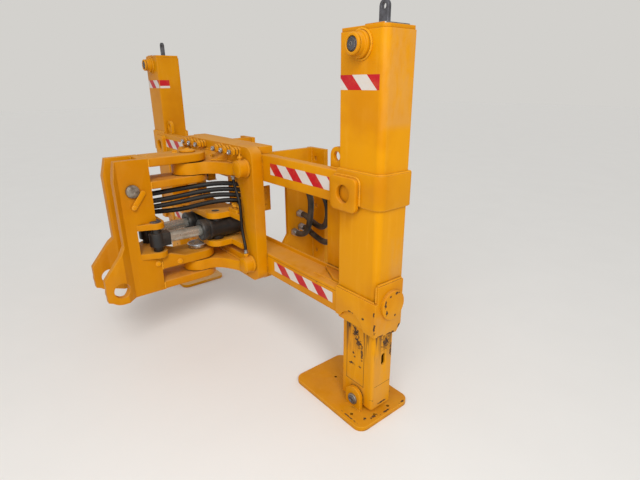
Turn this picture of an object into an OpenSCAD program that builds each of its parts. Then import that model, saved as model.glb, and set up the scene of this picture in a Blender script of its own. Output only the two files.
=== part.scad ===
// Side-shift backhoe frame with its two vertical stabiliser legs.
// Measures are in millimetres. Heights are given above the ground and depths from the rear
// faces of the leg tubes, forward being +Y. X runs to the machine's right. from_mount() then
// moves every piece so that the origin is the centre of the bolt pattern on the chassis.

/* [Leg tubes] */
// Distance of a leg tube's centre from the machine's centreline
leg_x = 1060; // [980:5:1120]
// Width of a leg tube, across the machine
tube_w = 230; // [210:5:250]
// Depth of a leg tube, along the machine
tube_d = 160; // [150:5:180]
// Wall of a leg tube
tube_wall = 10; // [8:1:14]
// Radius of a leg tube's outer rear corner
tube_corner = 28; // [20:1:34]
// Radius of a leg tube's other corners
tube_edge = 8; // [6:1:12]
// Height of a leg tube's upper end above the ground
tube_top = 1640; // [1560:10:1750]
// Height of a leg tube's lower end above the ground
tube_foot = 456; // [446:2:470]

/* [Rails] */
// Top of the upper rail above the ground
upper_rail_top = 1129; // [1120:1:1140]
// Height of the upper rail's section
upper_rail_h = 135; // [128:1:140]
// Depth of the upper rail's section
upper_rail_d = 52; // [44:1:60]
// Top of the lower rail above the ground
lower_rail_top = 598; // [594:1:602]
// Height of the lower rail's section
lower_rail_h = 120; // [112:1:124]
// Depth of the lower rail's section
lower_rail_d = 130; // [100:2:134]
// How far the rails stand behind the leg tubes' rear faces
rail_proud = 12; // [8:1:16]

/* [Legs and pads] */
// Slack between a leg and its tube on each side
leg_slack = 8; // [6:1:10]
// Wall of the sliding leg
leg_wall = 9; // [8:1:12]
// Height of the leg's upper end above the ground, as it stands
leg_top = 1120; // [1000:10:1200]
// Height of the foot pin above the ground
foot_pin_z = 66; // [66:1:76]
// Radius of the foot pin
foot_pin_r = 27; // [22:1:29]
// Length of a pad, across the machine
pad_l = 490; // [430:5:520]
// Width of a pad, along the machine
pad_w = 330; // [300:5:360]
// Thickness of a pad's plate
pad_t = 22; // [16:1:24]
// How far a pad's middle lies inboard of its pin
pad_shift = 108; // [90:2:130]

/* [Carriage] */
// Where the carriage stands along the rails, from the centreline
carriage_x = -30; // [-60:5:60]
// Overall width of the carriage
carriage_w = 820; // [790:5:840]
// Half width of the carriage's window
window_half = 275; // [268:1:282]
// Thickness of the carriage's frame
carriage_t = 62; // [56:1:68]
// Top of the carriage's frame above the ground
carriage_top = 1166; // [1160:1:1176]
// Bottom of the carriage's frame above the ground
carriage_foot = 440; // [434:1:444]
// Running gap between the carriage and the rails
slide_gap = 0.5; // [0.3:0.1:1]
// Radius of a clamp cylinder
clamp_r = 43; // [38:1:46]
// How far a clamp cylinder stands out of the frame
clamp_l = 55; // [44:1:60]
// Distance of a clamp cylinder from the carriage's middle
clamp_x = 350; // [345:1:354]

/* [Swing post] */
// Distance of the swing axis behind the leg tubes' rear faces
pivot_back = 230; // [226:1:236]
// Radius of the swing pins
pivot_r = 35; // [30:1:40]
// Radius of the bosses round the swing pins
boss_r = 92; // [84:1:94]
// Half width of the swing post between the clamp cylinders
post_half = 92; // [84:1:94]
// Half width of the swing post at the boom's foot
post_flare = 135; // [120:1:140]
// Radius of the bore for the boom's foot pin
boom_pin_r = 40; // [32:1:44]
// Radius of the upper cross pin
ram_pin_r = 32; // [28:1:36]

/* [Slew cylinders] */
// Height of the slew cylinders' axes above the ground
slew_z = 700; // [697:1:703]
// Distance of each trunnion from the carriage's middle
trunnion_x = 100; // [98:1:110]
// Distance of the trunnions in front of the swing axis
trunnion_y = 85; // [80:1:90]
// Distance of each rod's eye from the carriage's middle
eye_x = 85; // [80:1:90]
// Distance of the rods' eyes behind the swing axis
eye_y = 250; // [240:1:256]
// Radius of a slew cylinder's barrel
barrel_r = 55; // [48:1:57]
// Radius of a slew cylinder's rod
slew_rod_r = 29; // [24:1:32]
// Length of a barrel in front of its trunnion
barrel_tail = 262; // [258:1:268]
// Length of a barrel behind its trunnion
barrel_nose = 90; // [80:1:92]

/* [Chassis side] */
// Distance of the chassis plates' middles from the centreline
chassis_x = 330; // [300:5:400]
// Thickness of a chassis plate
chassis_t = 25; // [18:1:30]
// Distance of the bolting faces in front of the leg tubes' rear faces
flange_y = 360; // [330:5:420]
// Width of a bolting flange
flange_w = 150; // [130:5:160]
// Thickness of a bolting flange
flange_t = 25; // [18:1:30]
// Radius of a bolt hole
bolt_hole_r = 13; // [10:0.5:14]
// Half of the bolt pattern's width
bolt_half_x = 375; // [365:1:385]
// Half of the bolt pattern's height
bolt_half_z = 270; // [240:5:290]

/* [Hidden] */

// Smoothness of round pieces, and of the round ends of hulls
$fn = 64;
hull_fn = 32;

yellow = [0.87, 0.56, 0.03];
black = [0.06, 0.06, 0.07];
steel = [0.62, 0.6, 0.57];

// Clearances: a shaft in its bore, a piece that turns beside another, a piece laid on another
pin_gap = 0.06;
turn_gap = 5;
seat_gap = 0.3;

mount_z = (upper_rail_top + lower_rail_top - lower_rail_h) / 2;
upper_rail_z = upper_rail_top - upper_rail_h / 2;
lower_rail_z = lower_rail_top - lower_rail_h / 2;
tube_in = leg_x - tube_w / 2;
tube_out = leg_x + tube_w / 2;
leg_w = tube_w - 2 * (tube_wall + leg_slack);
leg_d = tube_d - 2 * (tube_wall + leg_slack);
leg_y = tube_d / 2;

// Placing

module from_mount() {
    translate([0, -flange_y, -mount_z]) children();
}

// Pieces of the swinging group are drawn round the swing axis, at ground height
module at_pivot() {
    from_mount() translate([carriage_x, -pivot_back, 0]) children();
}

module on_side(side) {
    if (side > 0) children();
    else mirror([1, 0, 0]) children();
}

module both_sides() {
    for (side = [-1, 1]) on_side(side) children();
}

// Plain forms

// A block given by its lowest and highest corners
module block(low, high) {
    translate(low) cube(high - low);
}

// A round bar from a point along +X, +Y or +Z
module bar_x(start, r, len) {
    translate(start) rotate([0, 90, 0]) cylinder(r = r, h = len);
}

module bar_y(start, r, len) {
    translate(start) rotate([-90, 0, 0]) cylinder(r = r, h = len);
}

module bar_z(start, r, len) {
    translate(start) cylinder(r = r, h = len);
}

// A rectangle with round corners, about its middle
module rounded(w, h, r) {
    square([w - 2 * r, h], center = true);
    square([w, h - 2 * r], center = true);
    for (x = [-1, 1], y = [-1, 1])
        translate([x * (w / 2 - r), y * (h / 2 - r)]) circle(r);
}

// A tube's plan about its middle: the outer rear corner is round, the others are near sharp
module tube_plan(w, d, r_round, r_edge) {
    difference() {
        rounded(w, d, r_edge);
        translate([w / 2 - r_round, -d / 2 - 1]) square(r_round + 1);
    }
    translate([w / 2 - r_round, r_round - d / 2]) circle(r_round);
}

// A profile drawn in Y and Z, given its thickness along X
module along_x(from, to) {
    translate([from, 0, 0]) rotate([90, 0, 90]) linear_extrude(to - from) children();
}

// A profile drawn in X and Z, given its thickness along Y
module along_y(from, to) {
    translate([0, to, 0]) rotate([90, 0, 0]) linear_extrude(to - from) children();
}

// A profile drawn in X and Y, given its thickness along Z
module along_z(from, to) {
    translate([0, 0, from]) linear_extrude(to - from) children();
}

// The fixed frame

module upper_rail() {
    color(yellow) from_mount()
        block([-tube_in, -rail_proud, upper_rail_top - upper_rail_h],
              [tube_in, upper_rail_d - rail_proud, upper_rail_top]);
}

// The lower rail has a low upstand along its front edge
upstand_h = 22;
upstand_t = 12;

module lower_rail() {
    front = lower_rail_d - rail_proud;
    floor_z = lower_rail_top - lower_rail_h;
    color(yellow) from_mount() {
        block([-tube_in, -rail_proud, floor_z], [tube_in, front, lower_rail_top]);
        block([-tube_in, front - upstand_t, lower_rail_top],
              [tube_in, front, lower_rail_top + upstand_h]);
    }
}

inner_edge = 3;

module leg_tube(side) {
    color(yellow) from_mount() on_side(side) translate([leg_x, leg_y, 0])
        along_z(tube_foot, tube_top) difference() {
            tube_plan(tube_w, tube_d, tube_corner, tube_edge);
            tube_plan(tube_w - 2 * tube_wall, tube_d - 2 * tube_wall, tube_corner - tube_wall,
                      inner_edge);
        }
}

// The collars are bands round the tubes at the upper rail
collar_t = 12;
collar_low = 1005;
collar_over = 8;

module tube_collars() {
    low = collar_low;
    high = upper_rail_top + collar_over;
    w = tube_w + 2 * collar_t;
    d = tube_d + 2 * collar_t;
    color(yellow) from_mount() both_sides() difference() {
        translate([leg_x, leg_y, 0]) along_z(low, high)
            tube_plan(w, d, tube_corner + collar_t, tube_edge + collar_t / 2);
        translate([leg_x, leg_y, 0]) along_z(low - 1, high + 1)
            tube_plan(tube_w, tube_d, tube_corner, tube_edge);
        block([0, -2 * tube_d, low - 1], [tube_in, 2 * tube_d, high + 1]);
    }
}

// A cheek closes each tube's foot: a plate on the outer side and, level with the lower rail, a
// face plate that is let out in an arch at the leg
cheek_t = 15;
cheek_foot = 440;
cheek_top = 687;
cheek_front = 150;
cheek_disc_r = 65;
cheek_disc_y = 80;
cheek_disc_z = 589;
face_over = 12;
arch_r = 81;
arch_shift = 14;

module cheek_plates() {
    outer = tube_out + cheek_t;
    face_low = lower_rail_top - lower_rail_h;
    face_high = lower_rail_top + face_over;
    heel = cheek_foot + 18;
    color(yellow) from_mount() both_sides() {
        along_x(tube_out, outer) polygon([
            [-cheek_t, heel], [cheek_front - 28, cheek_foot], [cheek_front, cheek_foot + 34],
            [cheek_front, cheek_top], [0, cheek_top], [0, face_high], [-cheek_t, face_high]
        ]);
        difference() {
            along_y(-cheek_t, 0) polygon([
                [tube_in, face_low], [tube_in, face_high], [outer, face_high], [outer, heel],
                [leg_x, heel], [leg_x, face_low]
            ]);
            along_y(-2 * cheek_t, 1) translate([leg_x - arch_shift, cheek_foot]) circle(arch_r);
        }
        bar_x([outer, cheek_disc_y, cheek_disc_z], cheek_disc_r, cheek_t);
    }
}

// Lashing lugs stand on the rail's rear face beside each tube
lug_in = 925;
lug_out = 1077;
lug_low = 975;
lug_high = 1115;
lug_t = 22;
lug_corner = 25;
lug_hole_r = 37;

module lashing_lugs() {
    mid = [(lug_in + lug_out) / 2, (lug_low + lug_high) / 2];
    color(yellow) from_mount() both_sides()
        along_y(-rail_proud - lug_t, -rail_proud) translate(mid) difference() {
            rounded(lug_out - lug_in, lug_high - lug_low, lug_corner);
            circle(lug_hole_r);
        }
}

// Lifting eyes stand on the upper rail against the tubes' inner sides
eye_t = 20;
eye_w = 78;
eye_h = 90;
eye_hole_r = 20;

module lifting_eyes() {
    mid_x = tube_in - eye_w / 2;
    round_z = upper_rail_top + eye_h - eye_w / 2;
    front = upper_rail_d - rail_proud;
    color(yellow) from_mount() both_sides() along_y(front - eye_t, front) difference() {
        union() {
            translate([mid_x, round_z]) circle(eye_w / 2);
            translate([tube_in - eye_w, upper_rail_top]) square([eye_w, round_z - upper_rail_top]);
        }
        translate([mid_x, round_z]) circle(eye_hole_r);
    }
}

// The leg cylinder hangs from a pin that is seen as a stepped boss near the tube's top
top_pin_z = 1593;
top_boss_r = 47;
top_ring_r = 38;
top_pin_r = 25;
top_boss_l = 20;
top_ring_l = 18;
top_pin_l = 12;

module top_pins() {
    rear = [leg_x, 0, top_pin_z];
    color(yellow) from_mount() both_sides() {
        bar_y(rear - [0, top_boss_l, 0], top_boss_r, top_boss_l);
        bar_y(rear - [0, top_boss_l + top_ring_l, 0], top_ring_r, top_ring_l);
        bar_y(rear - [0, top_boss_l + top_ring_l + top_pin_l, 0], top_pin_r, top_pin_l);
    }
}

// A cap closes each tube, with a plate and an upright lug on it
cap_h = 14;
cap_lug_h = 90;
cap_lug_w = 44;
cap_lug_t = 16;
cap_lug_hole_r = 11;

module tube_caps() {
    lug_x = leg_x + 12;
    eye_z = tube_top + cap_h + cap_lug_h - cap_lug_w / 2;
    color(yellow) from_mount() both_sides() {
        translate([leg_x, leg_y, 0]) along_z(tube_top, tube_top + cap_h)
            tube_plan(tube_w - 8, tube_d - 8, tube_corner - 4, tube_edge - 4);
        translate([leg_x + 45, leg_y, 0]) along_z(tube_top + cap_h, tube_top + cap_h + 6)
            rounded(tube_w / 2 - 12, tube_d - 30, 8);
        along_y(leg_y + 12, leg_y + 12 + cap_lug_t) difference() {
            union() {
                translate([lug_x, eye_z]) circle(cap_lug_w / 2);
                translate([lug_x - cap_lug_w / 2, tube_top + cap_h])
                    square([cap_lug_w, eye_z - tube_top - cap_h]);
            }
            translate([lug_x, eye_z]) circle(cap_lug_hole_r);
        }
    }
}

// Corner plates close the space between the rails beside each tube
corner_in = 730;
corner_t = 12;
corner_flange = 60;
corner_top = 1010;
corner_floor_in = 741;
corner_floor_bend = 875;
corner_floor_d = [8, 75];
corner_floor_t = 14;

module corner_plates() {
    front = lower_rail_d - rail_proud;
    floor_front = front - upstand_t;
    color(yellow) from_mount() both_sides() {
        block([corner_in, front, lower_rail_top - 60], [tube_in, front + corner_t, corner_top]);
        block([corner_in, front + corner_t, lower_rail_top - 60],
              [corner_in + corner_t, front + corner_flange, corner_top]);
        along_z(lower_rail_top, lower_rail_top + corner_floor_t) polygon([
            [corner_floor_in, floor_front], [corner_floor_in, floor_front - corner_floor_d[0]],
            [corner_floor_bend, floor_front - corner_floor_d[1]],
            [tube_in, floor_front - corner_floor_d[1]], [tube_in, floor_front]
        ]);
    }
}

// Chassis plates run forward from the rails, let out between them for the slew cylinders' tails
tail_room_y = 160;
hook_room_y = 75;
hook_room_z = 60;

module chassis_plates() {
    low = lower_rail_top - lower_rail_h;
    upper_front = upper_rail_d - rail_proud;
    lower_front = lower_rail_d - rail_proud;
    back = flange_y - flange_t;
    flange_in = bolt_half_x - flange_w / 2;
    color(yellow) from_mount() both_sides() {
        along_x(chassis_x - chassis_t / 2, chassis_x + chassis_t / 2) polygon([
            [hook_room_y, upper_rail_top], [hook_room_y, upper_rail_top - hook_room_z],
            [upper_front, upper_rail_top - hook_room_z], [upper_front, upper_rail_top - upper_rail_h],
            [tail_room_y, upper_rail_top - upper_rail_h - 60], [tail_room_y, lower_rail_top + 60],
            [lower_front, lower_rail_top], [lower_front, low], [back, low - 20],
            [back, upper_rail_top]
        ]);
        difference() {
            block([flange_in, back, low - 20], [flange_in + flange_w, flange_y, upper_rail_top]);
            for (z = [-1, 0, 1])
                bar_y([bolt_half_x, back - 1, mount_z + z * bolt_half_z], bolt_hole_r, flange_t + 2);
        }
    }
}

// Wear pads in each tube's foot guide its leg
wear_w = 70;
wear_h = 90;

module wear_pads() {
    t = leg_slack - seat_gap;
    low = tube_foot + 6;
    color(black) from_mount() both_sides() translate([leg_x, leg_y, low]) for (s = [-1, 1]) {
        x = s * (tube_w / 2 - tube_wall - t / 2);
        y = s * (tube_d / 2 - tube_wall - t / 2);
        translate([x - t / 2, -wear_w / 2, 0]) cube([t, wear_w, wear_h]);
        translate([-wear_w / 2, y - t / 2, 0]) cube([wear_w, t, wear_h]);
    }
}

// The sliding legs and their pads

ear_t = 18;
ear_r = 48;
ear_top = foot_pin_z + 62;
leg_foot = foot_pin_z - 20;
lug_r = foot_pin_z - pad_t - turn_gap - 1;
leg_corner = 14;
leg_edge = 6;
leg_slot_z = 296;
leg_slot_h = 18;
leg_slot_r = 12;

module leg_post(side) {
    bottom = foot_pin_z + 2 * foot_pin_r;
    color(yellow) from_mount() on_side(side) difference() {
        union() {
            translate([leg_x, leg_y, 0]) along_z(leg_foot, leg_top) difference() {
                tube_plan(leg_w, leg_d, leg_corner, leg_edge);
                rounded(leg_w - 2 * leg_wall, leg_d - 2 * leg_wall, leg_wall);
            }
            translate([leg_x, leg_y, 0]) along_z(leg_foot, bottom + 60)
                square([leg_w - leg_wall, leg_d - leg_wall], center = true);
            bar_y([leg_x, leg_y - leg_d / 2, foot_pin_z], lug_r, leg_d);
        }
        bar_y([leg_x, -tube_d, foot_pin_z], foot_pin_r + pin_gap, 3 * tube_d);
        leg_slot();
    }
}

// A slot in the leg's outer wall, near its foot
module leg_slot() {
    out = leg_x + leg_w / 2 - leg_wall - 2;
    for (z = [leg_slot_z - leg_slot_h, leg_slot_z + leg_slot_h])
        bar_x([out, leg_y + 5, z], leg_slot_r, leg_wall + 4);
    block([out, leg_y + 5 - leg_slot_r, leg_slot_z - leg_slot_h],
          [out + leg_wall + 4, leg_y + 5 + leg_slot_r, leg_slot_z + leg_slot_h]);
}

module foot_pin(side) {
    half = leg_d / 2 + turn_gap + ear_t + 8;
    color(steel) from_mount() on_side(side)
        bar_y([leg_x, leg_y - half, foot_pin_z], foot_pin_r, 2 * half);
}

pad_corner = 45;
pad_hole_r = 8;
pad_hole_in = pad_l * 0.22;
pad_hole_side = [pad_l * 0.29, pad_w / 2 - 41];
pad_hole_end = [pad_l / 2 - 33, 45];

module pad(side) {
    mid = [leg_x - pad_shift, leg_y, 0];
    color(yellow) from_mount() on_side(side) difference() {
        union() {
            translate(mid) along_z(0, pad_t) rounded(pad_l, pad_w, pad_corner);
            for (y = [leg_y - leg_d / 2 - turn_gap - ear_t, leg_y + leg_d / 2 + turn_gap])
                along_y(y, y + ear_t) union() {
                    translate([leg_x, ear_top - ear_r]) circle(ear_r);
                    translate([leg_x - ear_r, 0]) square([2 * ear_r, ear_top - ear_r]);
                }
        }
        bar_y([leg_x, -tube_d, foot_pin_z], foot_pin_r + pin_gap, 3 * tube_d);
        bar_z(mid - [pad_hole_in, 0, 1], pad_hole_r, pad_t + 2);
        for (hole = [pad_hole_side, pad_hole_end], s = [-1, 1])
            bar_z(mid + [hole[0], s * hole[1], -1], pad_hole_r, pad_t + 2);
    }
}

// The carriage

carriage_front = -rail_proud - slide_gap;
carriage_back = carriage_front - carriage_t;
window_low = 560;
window_high = 985;
frame_corner = 60;
window_corner = 70;
window_foot = 36;
barrel_relief = 68;
hook_t = 22;
hook_drop = 50;

module carriage_frame() {
    mid_z = (carriage_top + carriage_foot) / 2;
    win_z = (window_low + window_high) / 2;
    swing_room = barrel_r + turn_gap + 2;
    over = upper_rail_d - rail_proud + slide_gap;
    under = lower_rail_top - lower_rail_h - slide_gap;
    relief = [window_half + barrel_relief, window_half];
    color(yellow) from_mount() translate([carriage_x, 0, 0]) {
        difference() {
            along_y(carriage_back, carriage_front) difference() {
                translate([0, mid_z]) rounded(carriage_w, carriage_top - carriage_foot, frame_corner);
                translate([0, win_z]) rounded(2 * window_half, window_high - window_low, window_corner);
                translate([0, window_low + window_corner])
                    rounded(2 * window_half, 2 * window_corner, window_foot);
            }
            along_z(slew_z - swing_room, slew_z + swing_room) polygon([
                [-relief[1], carriage_back], [relief[1], carriage_back],
                [relief[0], carriage_front + 1], [-relief[0], carriage_front + 1]
            ]);
        }
        // hook over the upper rail
        block([-carriage_w / 2 + 20, carriage_front - 1, upper_rail_top + slide_gap],
              [carriage_w / 2 - 20, over + hook_t, carriage_top]);
        block([-carriage_w / 2 + 20, over, upper_rail_top - hook_drop],
              [carriage_w / 2 - 20, over + hook_t, carriage_top]);
        // lip under the lower rail
        block([-carriage_w / 2 + 40, carriage_front - 1, carriage_foot],
              [carriage_w / 2 - 40, 60, under]);
    }
}

// Four clamp cylinders, each with a port on top, press the carriage on the rails
port_r = 9;
port_h = 18;
port_x = 10;
port_y = 27.5;

module clamp_cylinders() {
    color(yellow) from_mount() translate([carriage_x, 0, 0])
        for (x = [-1, 1], z = [upper_rail_z, lower_rail_z]) {
            bar_y([x * clamp_x, carriage_back - clamp_l, z], clamp_r, clamp_l);
            bar_z([x * (clamp_x - port_x), carriage_back - port_y, z], port_r, clamp_r + port_h);
        }
}

// Six jacking bolts with locking nuts stand in two rows of three
jack_r = 19;
jack_tip_r = 11;
jack_nut_t = 10;
jack_nut_gap = 7;
jack_first = 110;
jack_pitch = 90;
jack_down = 26;

module jack_bolts() {
    z = carriage_top - jack_down;
    reach = 3 * jack_nut_t + 2 * jack_nut_gap;
    color(yellow) from_mount() translate([carriage_x, 0, 0])
        for (side = [-1, 1], k = [0:2]) {
            x = side * (jack_first + k * jack_pitch);
            bar_y([x, carriage_back - reach - 6, z], jack_tip_r, reach + 6);
            for (n = [0:2])
                bar_y([x, carriage_back - reach + n * (jack_nut_t + jack_nut_gap), z], jack_r, jack_nut_t);
        }
}

// The tongues reach back to the swing axis and flare to the clamp cylinders in a smooth curve
upper_tongue_z = [1010, 1072];
lower_tongue_z = [460, 520];
tongue_root = pivot_back + carriage_back;
tongue_half = clamp_x - clamp_r - 6;

function flare(t) = [boss_r + (tongue_half - boss_r) * pow(t, 2.4), 8 + (tongue_root - 8) * t];

module tongue_plan() {
    steps = 8;
    right = [for (k = [0:steps]) flare(k / steps)];
    left = [for (k = [steps:-1:0]) [-flare(k / steps)[0], flare(k / steps)[1]]];
    circle(boss_r);
    polygon(concat(right, left));
    translate([-boss_r, 0]) square([2 * boss_r, 9]);
}

module tongue(span) {
    color(yellow) at_pivot() along_z(span[0], span[1]) difference() {
        tongue_plan();
        circle(pivot_r + pin_gap);
    }
}

// A sloping gusset with a slot stands on the upper tongue, and a stop block hangs under it
gusset_slot = [45, 14];
gusset_h = 42;
gusset_root = 150;
gusset_nose = 70;
stop_w = 45;
stop_y = 98;
stop_h = 50;

module upper_tongue() {
    top = upper_tongue_z[1];
    nose = boss_r + turn_gap + 6;
    tongue(upper_tongue_z);
    color(yellow) at_pivot() {
        difference() {
            intersection() {
                along_x(-gusset_root, gusset_root)
                    polygon([[nose, top], [tongue_root, top], [tongue_root, top + gusset_h]]);
                along_z(top, top + gusset_h) polygon([
                    [-gusset_nose, boss_r], [gusset_nose, boss_r], [gusset_root, tongue_root],
                    [-gusset_root, tongue_root]
                ]);
            }
            translate([gusset_nose / 2, nose + 25, top - 1]) linear_extrude(gusset_h + 2)
                rounded(gusset_slot[0], gusset_slot[1], gusset_slot[1] / 2 - 0.5);
        }
        block([-stop_w / 2, stop_y, upper_tongue_z[0] - stop_h],
              [stop_w / 2, stop_y + stop_w, upper_tongue_z[0]]);
    }
}

module lower_tongue() {
    tongue(lower_tongue_z);
}

// Plates above and below the slew cylinders hold their trunnions
trunnion_r = 22;
bracket_t = 32;
bracket_gap = 10;
bracket_nose = 62;

module bracket_plan() {
    back = tongue_root - 15;
    for (side = [-1, 1]) translate([side * trunnion_x, trunnion_y]) circle(bracket_nose);
    translate([-trunnion_x, trunnion_y - bracket_nose]) square([2 * trunnion_x, 2 * bracket_nose]);
    translate([-window_half, back]) square([2 * window_half, 70]);
    translate([-trunnion_x - bracket_nose, trunnion_y])
        square([2 * (trunnion_x + bracket_nose), back - trunnion_y + 1]);
}

module trunnion_brackets() {
    upper = slew_z + barrel_r + bracket_gap;
    lower = slew_z - barrel_r - bracket_gap - bracket_t;
    color(yellow) at_pivot() for (z = [upper, lower])
        along_z(z, z + bracket_t) difference() {
            bracket_plan();
            for (side = [-1, 1])
                translate([side * trunnion_x, trunnion_y]) circle(trunnion_r + pin_gap);
        }
}

// Bolted caps on the upper bracket, one beside each trunnion
cap_plan = [96, 62];
cap_shift = [96, 86];
cap_t = 20;
cap_bolt_r = 13;
cap_bolt_h = 12;

module trunnion_caps() {
    z = slew_z + barrel_r + bracket_gap + bracket_t;
    color(yellow) at_pivot() both_sides() translate([trunnion_x, trunnion_y, z] + [each cap_shift, 0]) {
        along_z(0, cap_t) rounded(cap_plan[0], cap_plan[1], 8);
        for (x = [-30, 0, 30])
            bar_z([x, abs(x) / 3 - 8, cap_t], cap_bolt_r, cap_bolt_h);
    }
}

// The swing post: two cheeks and their webs, open to the rear, with four ears round the tongues

ear_over = [upper_tongue_z[1] + turn_gap, upper_tongue_z[1] + turn_gap + 44];
ear_below = [upper_tongue_z[0] - turn_gap - 40, upper_tongue_z[0] - turn_gap];
foot_over = [lower_tongue_z[1] + turn_gap, lower_tongue_z[1] + turn_gap + 50];
foot_below = [lower_tongue_z[0] - turn_gap - 45, lower_tongue_z[0] - turn_gap];
post_top = ear_over[1];
post_web = 245;
post_wall = 36;
slot_web = 345;
boom_y = 470;
boom_z = 486;
ram_y = 340;
ram_z = 970;
lug_plate_t = 30;
lug_gap = barrel_r + 9;
lug_pin_r = 25;
lug_boss_r = 44;

lug_low_z = slew_z - lug_gap - lug_plate_t;
lug_high_z = slew_z + lug_gap + lug_plate_t;
cheek_in = post_half - post_wall;
ram_back = ram_y + 85;
boom_back = boom_y + 74;
post_foot = foot_below[0];

// A cheek seen from the side, let out in front where the eye lugs pass
module post_side() {
    difference() {
        union() {
            polygon([
                [-post_web, post_foot], [-post_web, lug_low_z], [-slot_web, lug_low_z],
                [-slot_web, lug_high_z], [-post_web, lug_high_z], [-post_web, post_top],
                [20 - ram_back, post_top], [-ram_back, ram_z + 60], [-ram_back, ram_z - 60],
                [-ram_back, slew_z], [-boom_back, boom_z + 70], [-boom_back, post_foot + 30],
                [-boom_y, post_foot]
            ]);
            translate([-boom_y, boom_z]) circle(76);
        }
        translate([-boom_y, boom_z]) circle(boom_pin_r);
        translate([-ram_y, ram_z]) circle(ram_pin_r + pin_gap);
    }
}

flare_y = 445;
flare_run = 45;

module cheek_half_plan() {
    polygon([
        [cheek_in, -post_web], [post_half, -post_web], [post_half, flare_run - flare_y],
        [post_flare, -flare_y], [post_flare, -boom_y - 80], [post_flare - post_wall, -boom_y - 80],
        [post_flare - post_wall, -flare_y - 15], [cheek_in, flare_run - flare_y - 15]
    ]);
}

module post_cheek(side) {
    color(yellow) at_pivot() on_side(side) intersection() {
        along_z(post_foot - 1, post_top + 1) cheek_half_plan();
        along_x(0, 2 * post_flare) post_side();
    }
}

// Webs between the cheeks, with a window for the hoses, stepped back where the rods' eyes pass.
// A small plate behind the window holds the hoses' ends.
hose_window = 960;
hose_plate_y = 300.3;
hose_plate_t = 12;
hose_plate_z = [800, 946];

module post_webs() {
    front = -post_web;
    back = -post_web - post_wall;
    color(yellow) at_pivot() {
        block([-cheek_in, back, hose_window], [cheek_in, front, post_top]);
        block([-cheek_in, back, post_foot], [cheek_in, front, lug_low_z]);
        block([-cheek_in, -slot_web - post_wall, lug_low_z], [cheek_in, -slot_web, lug_high_z]);
        block([-cheek_in, -hose_plate_y - hose_plate_t, hose_plate_z[0]],
              [cheek_in, -hose_plate_y, hose_plate_z[1]]);
    }
}

module ear_plan() {
    circle(boss_r);
    translate([-post_half, -post_web]) square([2 * post_half, post_web]);
}

module ear(span) {
    along_z(span[0], span[1]) difference() {
        ear_plan();
        circle(pivot_r + pin_gap);
    }
}

module upper_ears() {
    color(yellow) at_pivot() {
        ear(ear_over);
        ear(ear_below);
    }
}

// The lower fork's upper ear has a side gusset under the eye lugs on each side
ear_gusset_front = 110;
ear_gusset_run = 80;
ear_gusset_t = 24;

module lower_ears() {
    color(yellow) at_pivot() {
        ear(foot_over);
        ear(foot_below);
        both_sides() along_x(post_half - ear_gusset_t, post_half) polygon([
            [-post_web, foot_over[1]], [-ear_gusset_front, foot_over[1]],
            [-ear_gusset_front - ear_gusset_run, lug_low_z], [-post_web, lug_low_z]
        ]);
    }
}

module lug_plan() {
    for (side = [-1, 1]) translate([side * eye_x, -eye_y]) circle(lug_boss_r);
    polygon([
        [-eye_x, -eye_y + lug_boss_r], [eye_x, -eye_y + lug_boss_r], [eye_x + lug_boss_r, -eye_y],
        [post_half, -slot_web], [-post_half, -slot_web], [-eye_x - lug_boss_r, -eye_y]
    ]);
}

module eye_lugs() {
    color(yellow) at_pivot() for (z = [lug_low_z, lug_high_z - lug_plate_t])
        along_z(z, z + lug_plate_t) difference() {
            lug_plan();
            for (side = [-1, 1]) translate([side * eye_x, -eye_y]) circle(lug_pin_r + pin_gap);
        }
}

// Swing pins with round heads, and the ends of the rods' eye pins, held in the lug plates
pin_head_r = 50;
pin_head_h = 20;
pin_cap_r = 42;
pin_cap_h = 10;

module swing_pins() {
    color(steel) at_pivot() {
        bar_z([0, 0, ear_below[0] - 8], pivot_r, ear_over[1] - ear_below[0] + 8);
        bar_z([0, 0, ear_over[1]], pin_cap_r, pin_cap_h);
        bar_z([0, 0, foot_below[0] - 12], pivot_r, foot_over[1] + 12 - foot_below[0]);
        bar_z([0, 0, foot_over[1]], pin_head_r, pin_head_h);
        for (side = [-1, 1], z = [lug_low_z + seat_gap, slew_z + lug_gap])
            bar_z([side * eye_x, -eye_y, z], lug_pin_r, lug_plate_t - seat_gap);
    }
}

module ram_cross_pin() {
    half = post_half + 14;
    color(steel) at_pivot() bar_x([-half, -ram_y, ram_z], ram_pin_r, 2 * half);
}

// The slew cylinders, each along the line from its trunnion to its rod's eye
slew_run = [eye_x - trunnion_x, -eye_y - trunnion_y];
slew_len = norm(slew_run);
slew_turn = atan2(slew_run[0], -slew_run[1]);

// Draws a cylinder's pieces with the trunnion at the origin and the rod along -Y
module at_trunnion(side) {
    at_pivot() on_side(side) translate([trunnion_x, trunnion_y, slew_z]) rotate([0, 0, slew_turn])
        children();
}

gland_l = 22;
gland_grip = 45;
bore_r = 44;
end_cap = 18;

module slew_barrel(side) {
    color(black) at_trunnion(side) difference() {
        union() {
            bar_y([0, -barrel_nose + gland_l, 0], barrel_r, barrel_nose - gland_l + barrel_tail);
            bar_y([0, -barrel_nose, 0], barrel_r + 2, gland_l);
            bar_z([0, 0, -barrel_r - bracket_gap + seat_gap], trunnion_r + 12,
                  2 * (barrel_r + bracket_gap - seat_gap));
            bar_z([0, 0, -barrel_r - bracket_gap - bracket_t], trunnion_r,
                  2 * (barrel_r + bracket_gap + bracket_t));
        }
        bar_y([0, -barrel_nose - 1, 0], slew_rod_r + pin_gap, barrel_nose);
        bar_y([0, gland_grip - barrel_nose, 0], bore_r,
              barrel_nose - gland_grip + barrel_tail - end_cap);
    }
}

// Each rod ends in a forged eye, with the middle of its pin riding in the eye
eye_h_half = 36;
eye_r = 40;
rod_in = 97;

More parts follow.
